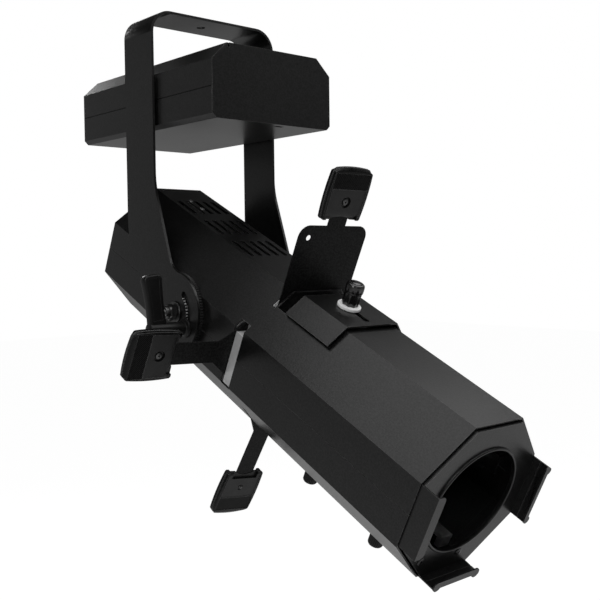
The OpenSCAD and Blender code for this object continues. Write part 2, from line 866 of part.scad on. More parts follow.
module rear_plate() color([0.1, 0.1, 0.105]) difference() {
    union() {
        axial(-barrel_rear, rear_plate_t) octagon(2 * inner_half - 0.2);
        axial(-barrel_rear, rear_rim) difference() {
            octagon(2 * inner_half - 0.2);
            octagon(2 * (inner_half - rim_t));
        }
    }
    axial(-barrel_rear - cut, rear_plate_t + 2 * cut) grille_2d();
    translate([0, barrel_rear, rear_gland_v]) rotate([90, 0, 0])
        cylinder(h = 3 * rear_plate_t, d = gland_d - 3.6, center = true);
    at_fan_holes() axial_rod(-barrel_rear - cut, rear_plate_t + 2 * cut, fan_screw_d + 0.4);
}

module barrel_cable_gland() color([0.08, 0.08, 0.08])
    translate([rear_gland_x, barrel_rear, rear_gland_v]) rotate([-90, 0, 0]) gland(rear_plate_t);

// Tilt bearing and its clamping lever

bolt_reach = 19.5;
bolt_head_d = 18;
bolt_head_t = 6;
stud_boss_d = 14;
stud_boss_h = 8;
plate_in = inner_half - pivot_plate_t;

module pivot_plates() color([0.6, 0.61, 0.62]) difference() {
    union() {
        for (side = [-1, 1]) translate([side * (plate_in + pivot_plate_t / 2), 0, 0])
            cube([pivot_plate_t, pivot_plate_len, pivot_plate_w], center = true);
        at_stud() cross_rod(-plate_in - 0.01, stud_boss_h + 0.01, stud_boss_d);
    }
    cross_rod(-half_w, 2 * half_w, pivot_d + 0.4);
    at_stud() cross_rod(-half_w, 30, stud_d + 2 * pivot_clear);
}

module friction_discs() color([0.07, 0.07, 0.075]) difference() {
    for (side = [0, 1]) mirror([side, 0, 0]) cross_rod(half_w, disc_t, 2 * lobe_r, $fn = 96);
    cross_rod(-arm_out, 2 * arm_out, pivot_hole_d);
    at_stud() cross_rod(-arm_out, disc_t + 10, stud_hole_d);
}

module pivot_bolts() color([0.7, 0.7, 0.72]) for (side = [0, 1]) mirror([side, 0, 0]) {
    cross_rod(plate_in - bolt_head_t, bolt_head_t, bolt_head_d);
    cross_rod(plate_in - 0.01, arm_out + bolt_reach - plate_in - 1.5, pivot_d);
    cross_cone(arm_out + bolt_reach, 1.52, pivot_d, pivot_d - 3);
}

nut_washer_d = 24;
nut_washer_t = 2;
nut_flats = 16;
nut_t = 8;
nut_collar_d = 14;
nut_collar_t = 5;

module pivot_nuts() color([0.72, 0.72, 0.73]) difference() {
    for (side = [0, 1]) mirror([side, 0, 0]) translate([arm_out + seat_gap, 0, 0]) {
        cross_rod(0, nut_washer_t, nut_washer_d);
        cross_rod(nut_washer_t, nut_t, nut_flats / cos(30), $fn = 6);
        cross_rod(nut_washer_t + nut_t - 0.01, nut_collar_t, nut_collar_d);
    }
    cross_rod(-arm_out - 40, 2 * arm_out + 80, pivot_d + 2 * pivot_clear);
}

lever_flange_d = 22;
lever_flange_t = 2;
lever_hub_d = 15;
lever_w = 22;
lever_t = 10;
lever_waist = 1.7;
lever_corner = 6;
lever_lean = 7;

// Points along an arc
function arc(c, r, a0, a1, n) = [for (k = [0:1:n])
    let (a = a0 + (a1 - a0) * k / n)
    c + r * [cos(a), sin(a)]];

// One side of the paddle, narrowing by lever_waist half way up
function lever_side(x, inward, n) = let (low = -lever_hub_d / 2, high = lever_reach - lever_corner)
    [for (k = [0:1:n]) [x + inward * lever_waist * sin(180 * k / n), low + (high - low) * k / n]];

// The paddle from the front: x inward from the hub's outer end, y up
module lever_paddle_2d() {
    top = lever_reach - lever_corner;
    left = lever_side(0, 1, 8);
    polygon(concat(lever_side(lever_w, -1, 8), arc([lever_w - lever_corner, top], lever_corner, 9, 90, 7),
        arc([lever_corner, top], lever_corner, 90, 171, 7), [for (k = [8:-1:0]) left[k]]));
}

// The lever stands upright while the barrel is tilted down by tilt_rest
module tilt_lever() color([0.06, 0.06, 0.06]) at_stud() {
    x_flange = -arm_out - seat_gap - lever_flange_t;
    x_end = -arm_out - lever_hub_len;
    cross_rod(x_flange, stud_boss_h - plate_in - x_flange, stud_d);
    cross_rod(x_flange, lever_flange_t, lever_flange_d);
    cross_rod(x_end, x_flange - x_end + 0.01, lever_hub_d);
    rotate([-tilt_rest, 0, 0]) translate([x_end, lever_t / 2, 0]) rotate([0, -lever_lean, 0])
        rotate([90, 0, 0]) linear_extrude(lever_t) lever_paddle_2d();
}

// Light engine

// Octagon that fits inside the shells and clears the lap of the seam
module inner_octagon() {
    difference() {
        octagon(2 * inner_half - 0.4);
        for (side = [0, 1]) mirror([side, 0]) translate([inner_half - shell_t - seat_gap, -lap_h - 0.5])
            square([5, 2 * lap_h + 1]);
    }
}

sink_rear = -146.7;
sink_base_at = -98;
sink_base_t = 6;
sink_rail_w = 10;
sink_rail = [-139, -101];

module heat_sink() color([0.62, 0.63, 0.64]) {
    pitch = (sink_w - fin_t) / (fin_count - 1);
    difference() {
        union() {
            axial(sink_base_at, sink_base_t) inner_octagon();
            for (k = [0:1:fin_count - 1]) along_box(-sink_w / 2 + k * pitch,
                -sink_w / 2 + k * pitch + fin_t, sink_rear, sink_base_at + 0.01, -sink_w / 2, sink_w / 2);
            along_box(-vent_screw_x - sink_rail_w / 2, -vent_screw_x + sink_rail_w / 2,
                sink_rail[0], sink_rail[1], sink_w / 2 - 8, inner_half - 0.2);
        }
        for (at = vent_screw_at) translate([-vent_screw_x, -at, inner_half - 16])
            cylinder(h = 20, d = vent_screw_d + 0.2);
    }
}

led_board_w = 70;
led_board_t = 2;
led_at = sink_base_at + sink_base_t;
led_chip_d = 28;

module led_board() color([0.9, 0.88, 0.6]) {
    along_box(-led_board_w / 2, led_board_w / 2, led_at, led_at + led_board_t,
        -led_board_w / 2, led_board_w / 2);
    axial_rod(led_at + led_board_t - 0.01, 1.5, led_chip_d);
}

reflector_at = led_at + led_board_t + seat_gap;
reflector_end = 40;
reflector_t = 1.5;
reflector_rear_r = 20;
reflector_front_r = 48;

module reflector() color([0.75, 0.75, 0.77]) {
    depth = reflector_end - reflector_at;
    translate([0, -reflector_at, 0]) rotate([90, 0, 0]) rotate_extrude($fn = 72)
        polygon([[reflector_rear_r, 0], [reflector_rear_r + reflector_t, 0],
            [reflector_front_r + reflector_t, depth + 0.01], [reflector_front_r, depth + 0.01]]);
    difference() {
        axial(reflector_end, 2) inner_octagon();
        axial_rod(reflector_end - cut, 2 + 2 * cut, 2 * reflector_front_r, $fn = 72);
    }
}

fan_at = -barrel_rear + rear_plate_t;
fan_front = fan_at + fan_t;
fan_duct_d = fan_w - 4;
fan_pin_d = 4;
fan_hub_d = 34;

module fan_frame() color([0.08, 0.08, 0.085]) {
    difference() {
        along_box(-fan_w / 2, fan_w / 2, fan_at, fan_front, -fan_w / 2, fan_w / 2);
        axial_rod(fan_at - cut, fan_t + 2 * cut, fan_duct_d, $fn = 72);
        at_fan_holes() axial_rod(fan_at - cut, fan_t + 2 * cut, fan_screw_d + 0.4);
    }
    axial_rod(fan_front - 3, 3, fan_hub_d + 2);
    for (a = [45, 135]) translate([0, -fan_front + 1.5, 0]) rotate([0, a, 0])
        cube([fan_duct_d + 2, 3, 5], center = true);
    axial_rod(fan_at + 4, fan_t - 6, fan_pin_d);
}

module fan_rotor() color([0.1, 0.1, 0.105]) {
    length = fan_t - 7;
    translate([0, -fan_at - 3, 0]) rotate([90, 0, 0]) difference() {
        union() {
            cylinder(h = length, d = fan_hub_d);
            for (k = [0:1:fan_blades - 1]) rotate([0, 0, k * 360 / fan_blades])
                translate([0, fan_hub_d / 2 - 1, length / 2]) rotate([0, 35, 0])
                    translate([-0.9, 0, -10]) cube([1.8, fan_duct_d / 2 - fan_hub_d / 2 - 0.6, 20]);
        }
        translate([0, 0, -cut]) cylinder(h = length + 2 * cut, d = fan_pin_d + 2 * pivot_clear);
    }
}

// Shutter gate

tie_d = 3;
tie_edge = 3.55;
tie_at = (inner_half - tie_edge) * sqrt(0.5);
blade_half = tie_at - blade_to_tie;
pad_d = 5.4;

module at_ties() {
    for (x = [-tie_at, tie_at], v = [-tie_at, tie_at]) translate([x, 0, v]) children();
}

// Octagonal plate of the gate with the aperture and the tie screw holes
module gate_sheet(at, thick) {
    difference() {
        axial(at, thick) octagon(2 * inner_half - 0.4);
        axial_rod(at - cut, thick + 2 * cut, gate_d, $fn = 72);
        at_ties() axial_rod(at - cut, thick + 2 * cut, tie_d + 0.4);
    }
}

// Part of the core's edge that shows in the left slot, and the step in it
core_edge_high = 27;
core_step_at = -8;
core_notch = 14;

module gate_core() color([0.7, 0.71, 0.72]) {
    difference() {
        gate_sheet(core_rear, core_t);
        along_box(-inner_half - cut, -inner_half + core_notch, core_rear - cut, core_front + cut,
            core_edge_high, shutter_slot_half + 6);
    }
    along_box(-inner_half + 0.2, -inner_half + 8, core_front - 0.01, core_front + pitch_gap - 0.2,
        -left_slot_low + 6, core_step_at);
}

module gate_plates() color([0.25, 0.25, 0.26]) {
    gate_sheet(rear_retainer_at, retainer_t);
    gate_sheet(front_retainer_at, retainer_t);
}

// The separators carry round pads that keep the blade gaps open
module gate_separators() color([0.55, 0.56, 0.57])
    for (at = [rear_separator_at, front_separator_at]) {
        gate_sheet(at, separator_t);
        for (side = [-pitch_gap, separator_t - 0.01]) difference() {
            at_ties() axial_rod(at + side, pitch_gap + 0.01, pad_d, $fn = 24);
            at_ties() axial_rod(at + side - cut, pitch_gap + 2 * cut, tie_d + 0.4);
        }
    }

// Shutters: in a blade's own sketch x is across and y is outward from the optical axis

neck_in_grip = 25;
grip_hole_at = 19.5;
grip_screw_d = 3.5;
top_corner = 13;

// Moves children from a blade's own frame to its plane, turned by angle about the optical axis
module shutter(plane, angle) {
    translate([0, -plane, 0]) rotate([90, 0, 0]) rotate([0, 0, angle]) children();
}

module neck_2d(from, grip_at) {
    translate([-neck_half, from]) square([2 * neck_half, grip_at + neck_in_grip - from]);
}

module top_blade_2d() {
    w = blade_half;
    far = top_blade_out;
    translate([-w, blade_inner]) square([2 * w, far - blade_inner - top_corner]);
    translate([-w + top_corner, far - top_corner - 1]) square([2 * (w - top_corner), top_corner + 1]);
    for (side = [-1, 1]) translate([side * (w - top_corner), far - top_corner])
        circle(r = top_corner);
}

module side_blade_2d() {
    w = blade_half;
    polygon([[-w, blade_inner], [w, blade_inner], [w, blade_inner + 14], [neck_half, shoulder_out],
        [-neck_half, shoulder_out], [-w, blade_inner + 14]]);
}

module blade(grip_at) color([0.42, 0.42, 0.43]) difference() {
    linear_extrude(blade_t) children();
    translate([0, grip_at + grip_hole_at, -cut])
        cylinder(h = blade_t + 2 * cut, d = grip_screw_d + 0.4);
}

grip_end_bow = 1.5;
grip_side_bow = 1.4;
grip_chamfer = 4.6;
grip_leg = 4;

// Right side of a grip's outline, from its inner end at y = 0
function grip_side(n) = let (low = 1.5, high = grip_len - grip_chamfer - grip_end_bow)
    [for (k = [0:1:n])
        [grip_w / 2 - grip_side_bow * pow(2 * k / n - 1, 2), low + (high - low) * k / n]];

// Right half of a grip's outline, up to its middle
function grip_half(n) = let (x = grip_w / 2 - grip_side_bow - grip_chamfer + 0.6)
    concat([[grip_w / 2 - grip_side_bow - 1.5, 0]], grip_side(n),
        [for (k = [0:1:n]) [x * (1 - k / n), grip_len - grip_end_bow * pow(1 - k / n, 2)]]);

// Outline of a grip; an arch at its inner end leaves two legs by the neck
module grip_2d() {
    half = grip_half(8);
    arch = grip_w * 0.45;
    difference() {
        polygon(concat(half, [for (k = [len(half) - 2:-1:0]) [-half[k][0], half[k][1]]]));
        translate([0, -arch]) circle(r = arch + grip_leg);
    }
}

rib_band = 19.5;
rib_w = 1.2;
rib_h = 0.6;
head_recess_d = 12;
head_recess = 2.8;

// A grip with its mid plane on the blade's mid plane
module grip(at) color([0.05, 0.05, 0.052]) translate([0, at, blade_t / 2]) difference() {
    union() {
        translate([0, 0, -grip_t / 2]) linear_extrude(grip_t) grip_2d();
        for (k = [0:1:grip_ribs - 1]) translate([-grip_w / 2 + 4,
            grip_len - 5 - (rib_band - 5) * k / (grip_ribs - 1) - rib_w / 2, -grip_t / 2 - rib_h])
            cube([grip_w - 8, rib_w, grip_t + 2 * rib_h]);
    }
    translate([-neck_half - 0.3, -cut, -blade_t / 2 - 0.1])
        cube([2 * neck_half + 0.6, neck_in_grip + 0.3 + cut, blade_t + 0.2]);
    translate([0, grip_hole_at, -grip_t]) cylinder(h = 2 * grip_t, d = grip_screw_d + 0.3);
    translate([0, grip_hole_at, grip_t / 2 - head_recess])
        cylinder(h = head_recess + cut, d = head_recess_d);
}

head_d = 7.5;
head_h = 1.8;
tip_out = 0.8;

module grip_screw(at) color([0.55, 0.55, 0.56])
    translate([0, at + grip_hole_at, blade_t / 2 + grip_t / 2 - head_recess]) difference() {
        union() {
            cylinder(h = head_h, d = head_d);
            translate([0, 0, -grip_t + head_recess - tip_out])
                cylinder(h = grip_t - head_recess + tip_out + 0.01, d = grip_screw_d);
        }
        for (a = [0, 90]) rotate([0, 0, a]) translate([-2, -0.5, head_h - 0.9]) cube([4, 1, 2]);
    }

bottom_angle = 180 - bottom_swivel;
left_angle = 90 - left_swivel;
right_angle = -90 - right_swivel;

// Turns a grip over, so that its screw goes in from the rear
module turned_over() {
    translate([0, 0, blade_t]) rotate([0, 180, 0]) children();
}

// Small hole near the outer end of the top blade
hang_hole_x = 33;
hang_hole_u = 139;
hang_hole_d = 6;

module top_blade() shutter(top_plane, 0) color([0.42, 0.42, 0.43]) difference() {
    blade(top_grip_at) {
        top_blade_2d();
        neck_2d(top_blade_out - 1, top_grip_at);
    }
    translate([-hang_hole_x, top_blade_out - 13.5, -cut])
        cylinder(h = blade_t + 2 * cut, d = hang_hole_d);
}

module top_grip() shutter(top_plane, 0) grip(top_grip_at);
module top_grip_screw() shutter(top_plane, 0) grip_screw(top_grip_at);

module side_blade(grip_at) blade(grip_at) {
    side_blade_2d();
    neck_2d(shoulder_out - 1, grip_at);
}

module bottom_blade() shutter(bottom_plane, bottom_angle) side_blade(bottom_grip_at);
module bottom_grip() shutter(bottom_plane, bottom_angle) turned_over() grip(bottom_grip_at);
module bottom_grip_screw() shutter(bottom_plane, bottom_angle)
    turned_over() grip_screw(bottom_grip_at);

module left_blade() shutter(left_plane, left_angle) side_blade(side_grip_at);
module left_grip() shutter(left_plane, left_angle) grip(side_grip_at);
module left_grip_screw() shutter(left_plane, left_angle) grip_screw(side_grip_at);

module right_blade() shutter(right_plane, right_angle) side_blade(side_grip_at);
module right_grip() shutter(right_plane, right_angle) grip(side_grip_at);
module right_grip_screw() shutter(right_plane, right_angle) grip_screw(side_grip_at);

// Accessory slot cover

cover_in = half_w + cover_lift;
cover_out = cover_in + cover_t;

// Where the cover ends on the slopes, measured down them from their middles
cover_side_end = -cover_out * tan(22.5) + cover_side;

// Cross-section of the cover's top and two slopes
module cover_2d() {
    intersection() {
        difference() {
            octagon(2 * cover_out);
            octagon(2 * cover_in);
        }
        intersection_for(side = [0, 1]) mirror([side, 0]) rotate(-45)
            translate([-2 * barrel_w, 0]) square([2 * barrel_w + cover_side_end, barrel_w]);
    }
}

// Cross-section of one turned-in edge
module cover_edge_2d(side) {
    mirror([side, 0]) rotate(-45) translate([cover_side_end - cover_t, half_w + slide_gap])
        square([cover_t - 0.02, cover_lift + cover_t / 2 - slide_gap]);
}

cover_slot = [cover_knob_at - 5, cover_knob_at + cover_travel + 14];

module slot_cover() color([0.12, 0.12, 0.125]) difference() {
    union() {
        axial(cover_rear, cover_len) cover_2d();
        for (side = [0, 1]) axial(cover_rear, cover_len) cover_edge_2d(side);
    }
    translate([0, -cover_slot[1], cover_in - cut]) linear_extrude(cover_t + 2 * cut)
        slot_2d(cover_slot[1] - cover_slot[0], cover_stud_d + 1);
}

washer_t = 3.5;
washer_low = cover_out + slide_gap;
knob_low = washer_low + washer_t;
knob_stem_d = 16.5;
knob_stem_part = 0.57;

module cover_washer() color([0.93, 0.93, 0.92]) translate([0, -cover_knob_at, washer_low])
    difference() {
        cylinder(h = washer_t, d = washer_d);
        translate([0, 0, -cut]) cylinder(h = washer_t + 2 * cut, d = cover_stud_d + 0.2);
    }

// Thumb knob standing on z = 0, a round head on a thinner stem
module thumb_knob(d, h) {
    stem = knob_stem_part * h;
    cylinder(h = stem + 0.01, d = knob_stem_d);
    translate([0, 0, stem]) cylinder(h = 1.01, d1 = knob_stem_d, d2 = d);
    translate([0, 0, stem + 1]) cylinder(h = h - stem - 2.5, d = d);
    translate([0, 0, h - 1.51]) cylinder(h = 1.51, d1 = d, d2 = d - 4);
}

module cover_knob() color([0.06, 0.06, 0.06]) translate([0, -cover_knob_at, 0]) {
    translate([0, 0, knob_low]) thumb_knob(cover_knob_d, cover_knob_h);
    translate([0, 0, inner_half - 6]) cylinder(h = knob_low - inner_half + 6.01, d = cover_stud_d);
    translate([0, 0, inner_half - 4 - seat_gap]) cylinder(h = 4, d = 11, $fn = 6);
}

// Lenses, their carriages and rails

rail_w = 14;
rail_t = 4;
rail_front = plate_front - plate_rim - 1;
rail_ends = [[150, 156], [rail_front - 7, rail_front]];

module lens_rails() color([0.66, 0.66, 0.67]) for (side = [-1, 1]) {
    along_box(side * rail_x - rail_w / 2, side * rail_x + rail_w / 2, rail_ends[0][0],
        rail_ends[1][1], -rail_low - rail_t / 2, -rail_low + rail_t / 2);
    for (e = rail_ends) along_box(side * (rail_x - 0.5) - rail_w / 2 + 0.5,
        side * (rail_x - 0.5) + rail_w / 2 - 0.5, e[0], e[1], -inner_half, -rail_low);
}

carrier_t = 14;
carrier_r = 60;
foot_half = 36;
foot_low = -rail_low - rail_t / 2 - slide_gap - 2.2;
lens_edge = 4;
lens_stud_d = 6;

// Carriage for a lens of diameter d: a ring on a foot that rides the two rails
module lens_carrier(at, d) color([0.1, 0.1, 0.105]) difference() {
    union() {
        axial_rod(at - carrier_t / 2, carrier_t, 2 * carrier_r, $fn = 72);
        along_box(-foot_half, foot_half, at - carrier_t / 2, at + carrier_t / 2, foot_low, -40);
    }
    axial_rod(at - carrier_t, 2 * carrier_t, d - 6, $fn = 72);
    axial_rod(at, carrier_t, d + 0.4, $fn = 72);
    for (side = [-1, 1]) along_box(side * rail_x - rail_w / 2 - slide_gap,
        side * rail_x + rail_w / 2 + slide_gap, at - carrier_t, at + carrier_t,
        -rail_low - rail_t / 2 - slide_gap, -rail_low + rail_t / 2 + slide_gap);
    translate([0, -at, foot_low - cut])
        cylinder(h = cut - foot_low - 61.5, d = lens_stud_d + 2 * pivot_clear);
}

// Plano-convex lens, flat side to the rear at along position at
module lens(at, d, r) {
    sag = r - sqrt(r * r - d * d / 4);
    steps = 12;
    top = asin(d / 2 / r);
    translate([0, -at, 0]) rotate([90, 0, 0]) rotate_extrude($fn = 72)
        polygon(concat([[0, 0], [d / 2, 0]], [for (k = [0:1:steps])
            let (a = top * (1 - k / steps))
            [k == steps ? 0 : r * sin(a), lens_edge + sag - r + r * cos(a)]]));
}

rear_lens_r = 90;
front_lens_r = 119;

module rear_lens_carrier() lens_carrier(rear_lens_at, rear_lens_d);
module front_lens_carrier() lens_carrier(front_lens_at, front_lens_d);
module rear_lens() color([0.8, 0.88, 0.9, 0.5]) lens(rear_lens_at, rear_lens_d, rear_lens_r);
module front_lens() color([0.8, 0.88, 0.9, 0.5]) lens(front_lens_at, front_lens_d, front_lens_r);

lens_flange_d = 22;
lens_neck_d = 12;
lens_neck_h = 8.6;

module lens_knob(at) color([0.06, 0.06, 0.06])
    translate([0, -at, -half_w - slide_gap]) rotate([180, 0, 0]) {
        cylinder(h = 2, d = lens_flange_d);
        cylinder(h = 2 + lens_neck_h, d = lens_neck_d);
        translate([0, 0, 1.99 + lens_neck_h]) {
            cylinder(h = 1.02, d1 = lens_knob_d - 2, d2 = lens_knob_d);
            translate([0, 0, 1]) cylinder(h = lens_knob_h - 2, d = lens_knob_d);
            translate([0, 0, lens_knob_h - 1.01])
                cylinder(h = 1.01, d1 = lens_knob_d, d2 = lens_knob_d - 2);
        }
        translate([0, 0, -half_w - slide_gap + 62.5])
            cylinder(h = half_w + slide_gap - 62, d = lens_stud_d);
    }

module rear_lens_knob() lens_knob(rear_lens_at);
module front_lens_knob() lens_knob(front_lens_at);

// Screws of the barrel: fan, gate, heat sink and front plate

module barrel_screws() color([0.65, 0.65, 0.66]) {
    at_fan_holes() {
        axial_rod(-barrel_rear - 2, 2, 7.5);
        axial_rod(-barrel_rear - 1, fan_t + rear_plate_t, fan_screw_d);
    }
    at_ties() {
        axial_rod(gate_front, 2, 5.5, $fn = 24);
        axial_rod(rear_retainer_at - 3, gate_front - rear_retainer_at + 3.01, tie_d, $fn = 24);
        translate([0, -rear_retainer_at + 2, 0]) rotate([90, 0, 0])
            cylinder(h = 2, d = 5.5 / cos(30), $fn = 6);
    }
    for (at = vent_screw_at) translate([-vent_screw_x, -at, 0]) {
        translate([0, 0, half_w]) cylinder(h = 1.6, d = 5.6, $fn = 24);
        translate([0, 0, half_w - 14]) cylinder(h = 14.01, d = vent_screw_d, $fn = 24);
    }
    for (p = plate_screws) translate([p[0], 0, p[1]]) {
        axial_rod(plate_front, 2, 8, $fn = 32);
        axial_rod(plate_front - plate_t - 3, plate_t + 3.01, plate_screw_d, $fn = 24);
    }
}

yoke();
driver_cover();
driver_tray();
driver_front_plate();
driver_rear_plate();
driver_board();
power_inlet();
data_sockets();
display_window();
menu_button_up();
menu_button_down();
menu_button_enter();
menu_button_back();
driver_spacers();
driver_mount_screws();
box_cable_gland();
on_barrel() upper_shell();
on_barrel() lower_shell();
on_barrel() front_plate();
on_barrel() rear_plate();
on_barrel() left_frame_holder();
on_barrel() right_frame_holder();
on_barrel() bottom_frame_holder();
on_barrel() pivot_plates();
on_barrel() friction_discs();
on_barrel() pivot_bolts();
on_barrel() pivot_nuts();
on_barrel() tilt_lever();
on_barrel() heat_sink();
on_barrel() led_board();
on_barrel() reflector();
on_barrel() fan_frame();
on_barrel() fan_rotor();
on_barrel() gate_core();
on_barrel() gate_plates();
on_barrel() gate_separators();
on_barrel() top_blade();
on_barrel() top_grip();
on_barrel() top_grip_screw();
on_barrel() bottom_blade();
on_barrel() bottom_grip();
on_barrel() bottom_grip_screw();
on_barrel() left_blade();
on_barrel() left_grip();
on_barrel() left_grip_screw();
on_barrel() right_blade();
on_barrel() right_grip();
on_barrel() right_grip_screw();
on_barrel() slot_cover();
on_barrel() cover_knob();
on_barrel() cover_washer();
on_barrel() lens_rails();
on_barrel() rear_lens_carrier();
on_barrel() rear_lens();
on_barrel() rear_lens_knob();
on_barrel() front_lens_carrier();
on_barrel() front_lens();
on_barrel() front_lens_knob();
on_barrel() barrel_screws();
on_barrel() barrel_cable_gland();
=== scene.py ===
"""Looks of the LED profile spot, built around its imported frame.

The scene is in metres. The origin is the clamp bolt hole in the yoke strap, and the lens looks
along -Y at zero tilt. Pieces are drawn in millimetres, and make_piece scales them. Barrel pieces
are drawn in the barrel's own frame: x across, y behind the tilt axis and z above the optical axis.
"""
import math

import bmesh
import bpy
from mathutils import Matrix, Vector


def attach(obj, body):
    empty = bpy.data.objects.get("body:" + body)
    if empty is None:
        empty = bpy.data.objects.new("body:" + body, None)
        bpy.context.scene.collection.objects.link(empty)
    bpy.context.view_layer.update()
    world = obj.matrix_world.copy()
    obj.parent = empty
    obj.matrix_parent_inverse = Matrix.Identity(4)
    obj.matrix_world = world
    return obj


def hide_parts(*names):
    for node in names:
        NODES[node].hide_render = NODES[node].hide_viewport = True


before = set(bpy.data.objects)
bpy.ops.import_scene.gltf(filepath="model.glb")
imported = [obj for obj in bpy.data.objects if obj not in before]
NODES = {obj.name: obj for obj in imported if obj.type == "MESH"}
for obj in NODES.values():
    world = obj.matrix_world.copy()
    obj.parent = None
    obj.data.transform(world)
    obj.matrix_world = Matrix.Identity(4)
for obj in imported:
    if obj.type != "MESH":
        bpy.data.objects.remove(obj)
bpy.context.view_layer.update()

# Places and sizes shared with the construction
MM = 0.001
TILT_REST = math.radians(25.2)
TILT_AXIS = Vector((0, -68.5, -340)) * MM
ARM_X = 88.2  # outer face of a yoke arm, in millimetres

BARREL = Matrix.Translation(TILT_AXIS) @ Matrix.Rotation(TILT_REST, 4, "X")


# Camera

CAMERA_AT = Vector((-0.62673, -0.89938, -0.28209))
CAMERA_YAW = 0.71473544
CAMERA_PITCH = -0.04711982
CAMERA_ROLL = -0.01138539
FOCAL_PX = 890.197
IMAGE_PX = 600
SENSOR_MM = 36
CLIP_END = 20


def make_camera():
    """A level camera turned by its yaw, then by its pitch and roll."""
    level = Vector((math.sin(CAMERA_YAW), math.cos(CAMERA_YAW), 0))
    up = Vector((0, 0, 1))
    forward = level * math.cos(CAMERA_PITCH) + up * math.sin(CAMERA_PITCH)
    side = Vector((math.cos(CAMERA_YAW), -math.sin(CAMERA_YAW), 0))
    lift = up * math.cos(CAMERA_PITCH) - level * math.sin(CAMERA_PITCH)
    right = side * math.cos(CAMERA_ROLL) + lift * math.sin(CAMERA_ROLL)
    top = lift * math.cos(CAMERA_ROLL) - side * math.sin(CAMERA_ROLL)
    data = bpy.data.cameras.new("camera")
    data.sensor_width = SENSOR_MM
    data.lens = FOCAL_PX / IMAGE_PX * SENSOR_MM
    data.clip_end = CLIP_END
    camera = bpy.data.objects.new("camera", data)
    turn = Matrix((right, top, -forward)).transposed().to_4x4()
    camera.matrix_world = Matrix.Translation(CAMERA_AT) @ turn
    bpy.context.scene.collection.objects.link(camera)
    bpy.context.scene.camera = camera


make_camera()
bpy.context.scene.view_settings.view_transform = "Standard"


# Node material helpers

PLAIN = (1, 1, 1)
WHITE = (1, 1, 1, 1)
MIDDLE = (0.3, 0.7)  # the range that holds most of a noise


class Nodes:
    """A node tree, and short calls to add nodes to it."""

    def __init__(self, tree):
        self.tree = tree

    def link(self, source, target):
        """A link from an output to an input."""
        self.tree.links.new(source, target)

    def feed(self, target, value):
        """Links an output to an input, or sets the input to a plain value."""
        if isinstance(value, bpy.types.NodeSocket):
            self.link(value, target)
        else:
            target.default_value = value

    def add(self, kind, fed=None, **settings):
        """A new node with the given settings, and its inputs fed by name or number."""
        node = self.tree.nodes.new(kind)
        for key, value in settings.items():
            setattr(node, key, value)
        for key, value in (fed or {}).items():
            self.feed(node.inputs[key], value)
        return node

    def ramp(self, value, low, high, out_low=0.0, out_high=1.0, **settings):
        """The value stretched from low..high to out_low..out_high, and held at the ends."""
        fed = {"Value": value, "From Min": low, "From Max": high, "To Min": out_low,
               "To Max": out_high}
        return self.add("ShaderNodeMapRange", fed, **settings).outputs["Result"]

    def math(self, operation, a, b):
        """One step of arithmetic on outputs or plain values."""
        return self.add("ShaderNodeMath", {0: a, 1: b}, operation=operation).outputs[0]

    def dot(self, a, b):
        """How far two directions agree."""
        node = self.add("ShaderNodeVectorMath", {0: a, 1: b}, operation="DOT_PRODUCT")
        return node.outputs["Value"]

    def seen(self):
        """1 on rays from the camera, also through glass, and 0 on rays that light the object."""
        path = self.add("ShaderNodeLightPath").outputs
        return self.math("MAXIMUM", path["Is Camera Ray"], path["Is Transmission Ray"])

    def blend(self, factor, first, second):
        """Two shaders mixed by a factor."""
        return self.add("ShaderNodeMixShader", {0: factor, 1: first, 2: second}).outputs[0]


class Shader(Nodes):
    """A material with its Principled node, textured in the piece's own coordinates."""

    def __init__(self, name):
        self.material = bpy.data.materials.new(name)
        self.material.use_nodes = True
        super().__init__(self.material.node_tree)
        self.bsdf = self.tree.nodes["Principled BSDF"]
        self.coords = self.add("ShaderNodeTexCoord").outputs["Object"]

    def noise(self, scale, detail, rough=0.55, vector=None):
        """Cloudy noise, its scale in features per metre."""
        fed = {"Scale": scale, "Detail": detail, "Roughness": rough,
               "Vector": vector or self.coords}
        return self.add("ShaderNodeTexNoise", fed).outputs["Fac"]

    def mottle(self, scale, detail, low, high, out_low=0.0, out_high=1.0):
        """Noise, with its range low..high stretched to out_low..out_high."""
        return self.ramp(self.noise(scale, detail), low, high, out_low, out_high)

    def cells(self, scale):
        """Distance from the middles of scattered cells."""
        fed = {"Scale": scale, "Vector": self.coords}
        return self.add("ShaderNodeTexVoronoi", fed).outputs["Distance"]

    def stretched(self, scale, turn):
        """The coordinates turned and scaled by axis."""
        fed = {"Scale": scale, "Rotation": turn, "Vector": self.coords}
        return self.add("ShaderNodeMapping", fed).outputs["Vector"]

    def mix(self, factor, a, b):
        """Two colours mixed by a factor."""
        fed = {"Factor": factor, "A": a, "B": b}
        return self.add("ShaderNodeMix", fed, data_type="RGBA").outputs["Result"]

    def bump(self, height, strength, distance, below=None):
        """A normal tilted by a height, on top of the bump below it."""
        fed = {"Strength": strength, "Distance": distance, "Height": height}
        if below is not None:
            fed["Normal"] = below
        return self.add("ShaderNodeBump", fed).outputs["Normal"]

    def edges(self, radius, start, full):
        """1 on edges within the radius, 0 on open faces, by how far the normal turns."""
        rounded = self.add("ShaderNodeBevel", {"Radius": radius}, samples=4).outputs["Normal"]
        flat = self.add("ShaderNodeNewGeometry").outputs["Normal"]
        return self.ramp(self.dot(rounded, flat), start, full)

    def set(self, socket, value):
        """Feeds an output or a plain value to the Principled node."""
        self.feed(self.bsdf.inputs[socket], value)

    def set_rough(self, level, spread, scale, detail):
        """A roughness that drifts about its level."""
        rough = self.mottle(scale, detail, *MIDDLE, level - spread, level + spread)
        self.set("Roughness", rough)


def grey(level, tint=PLAIN):
    """An even grey, or its tinted colour."""
    return (level * tint[0], level * tint[1], level * tint[2], 1)


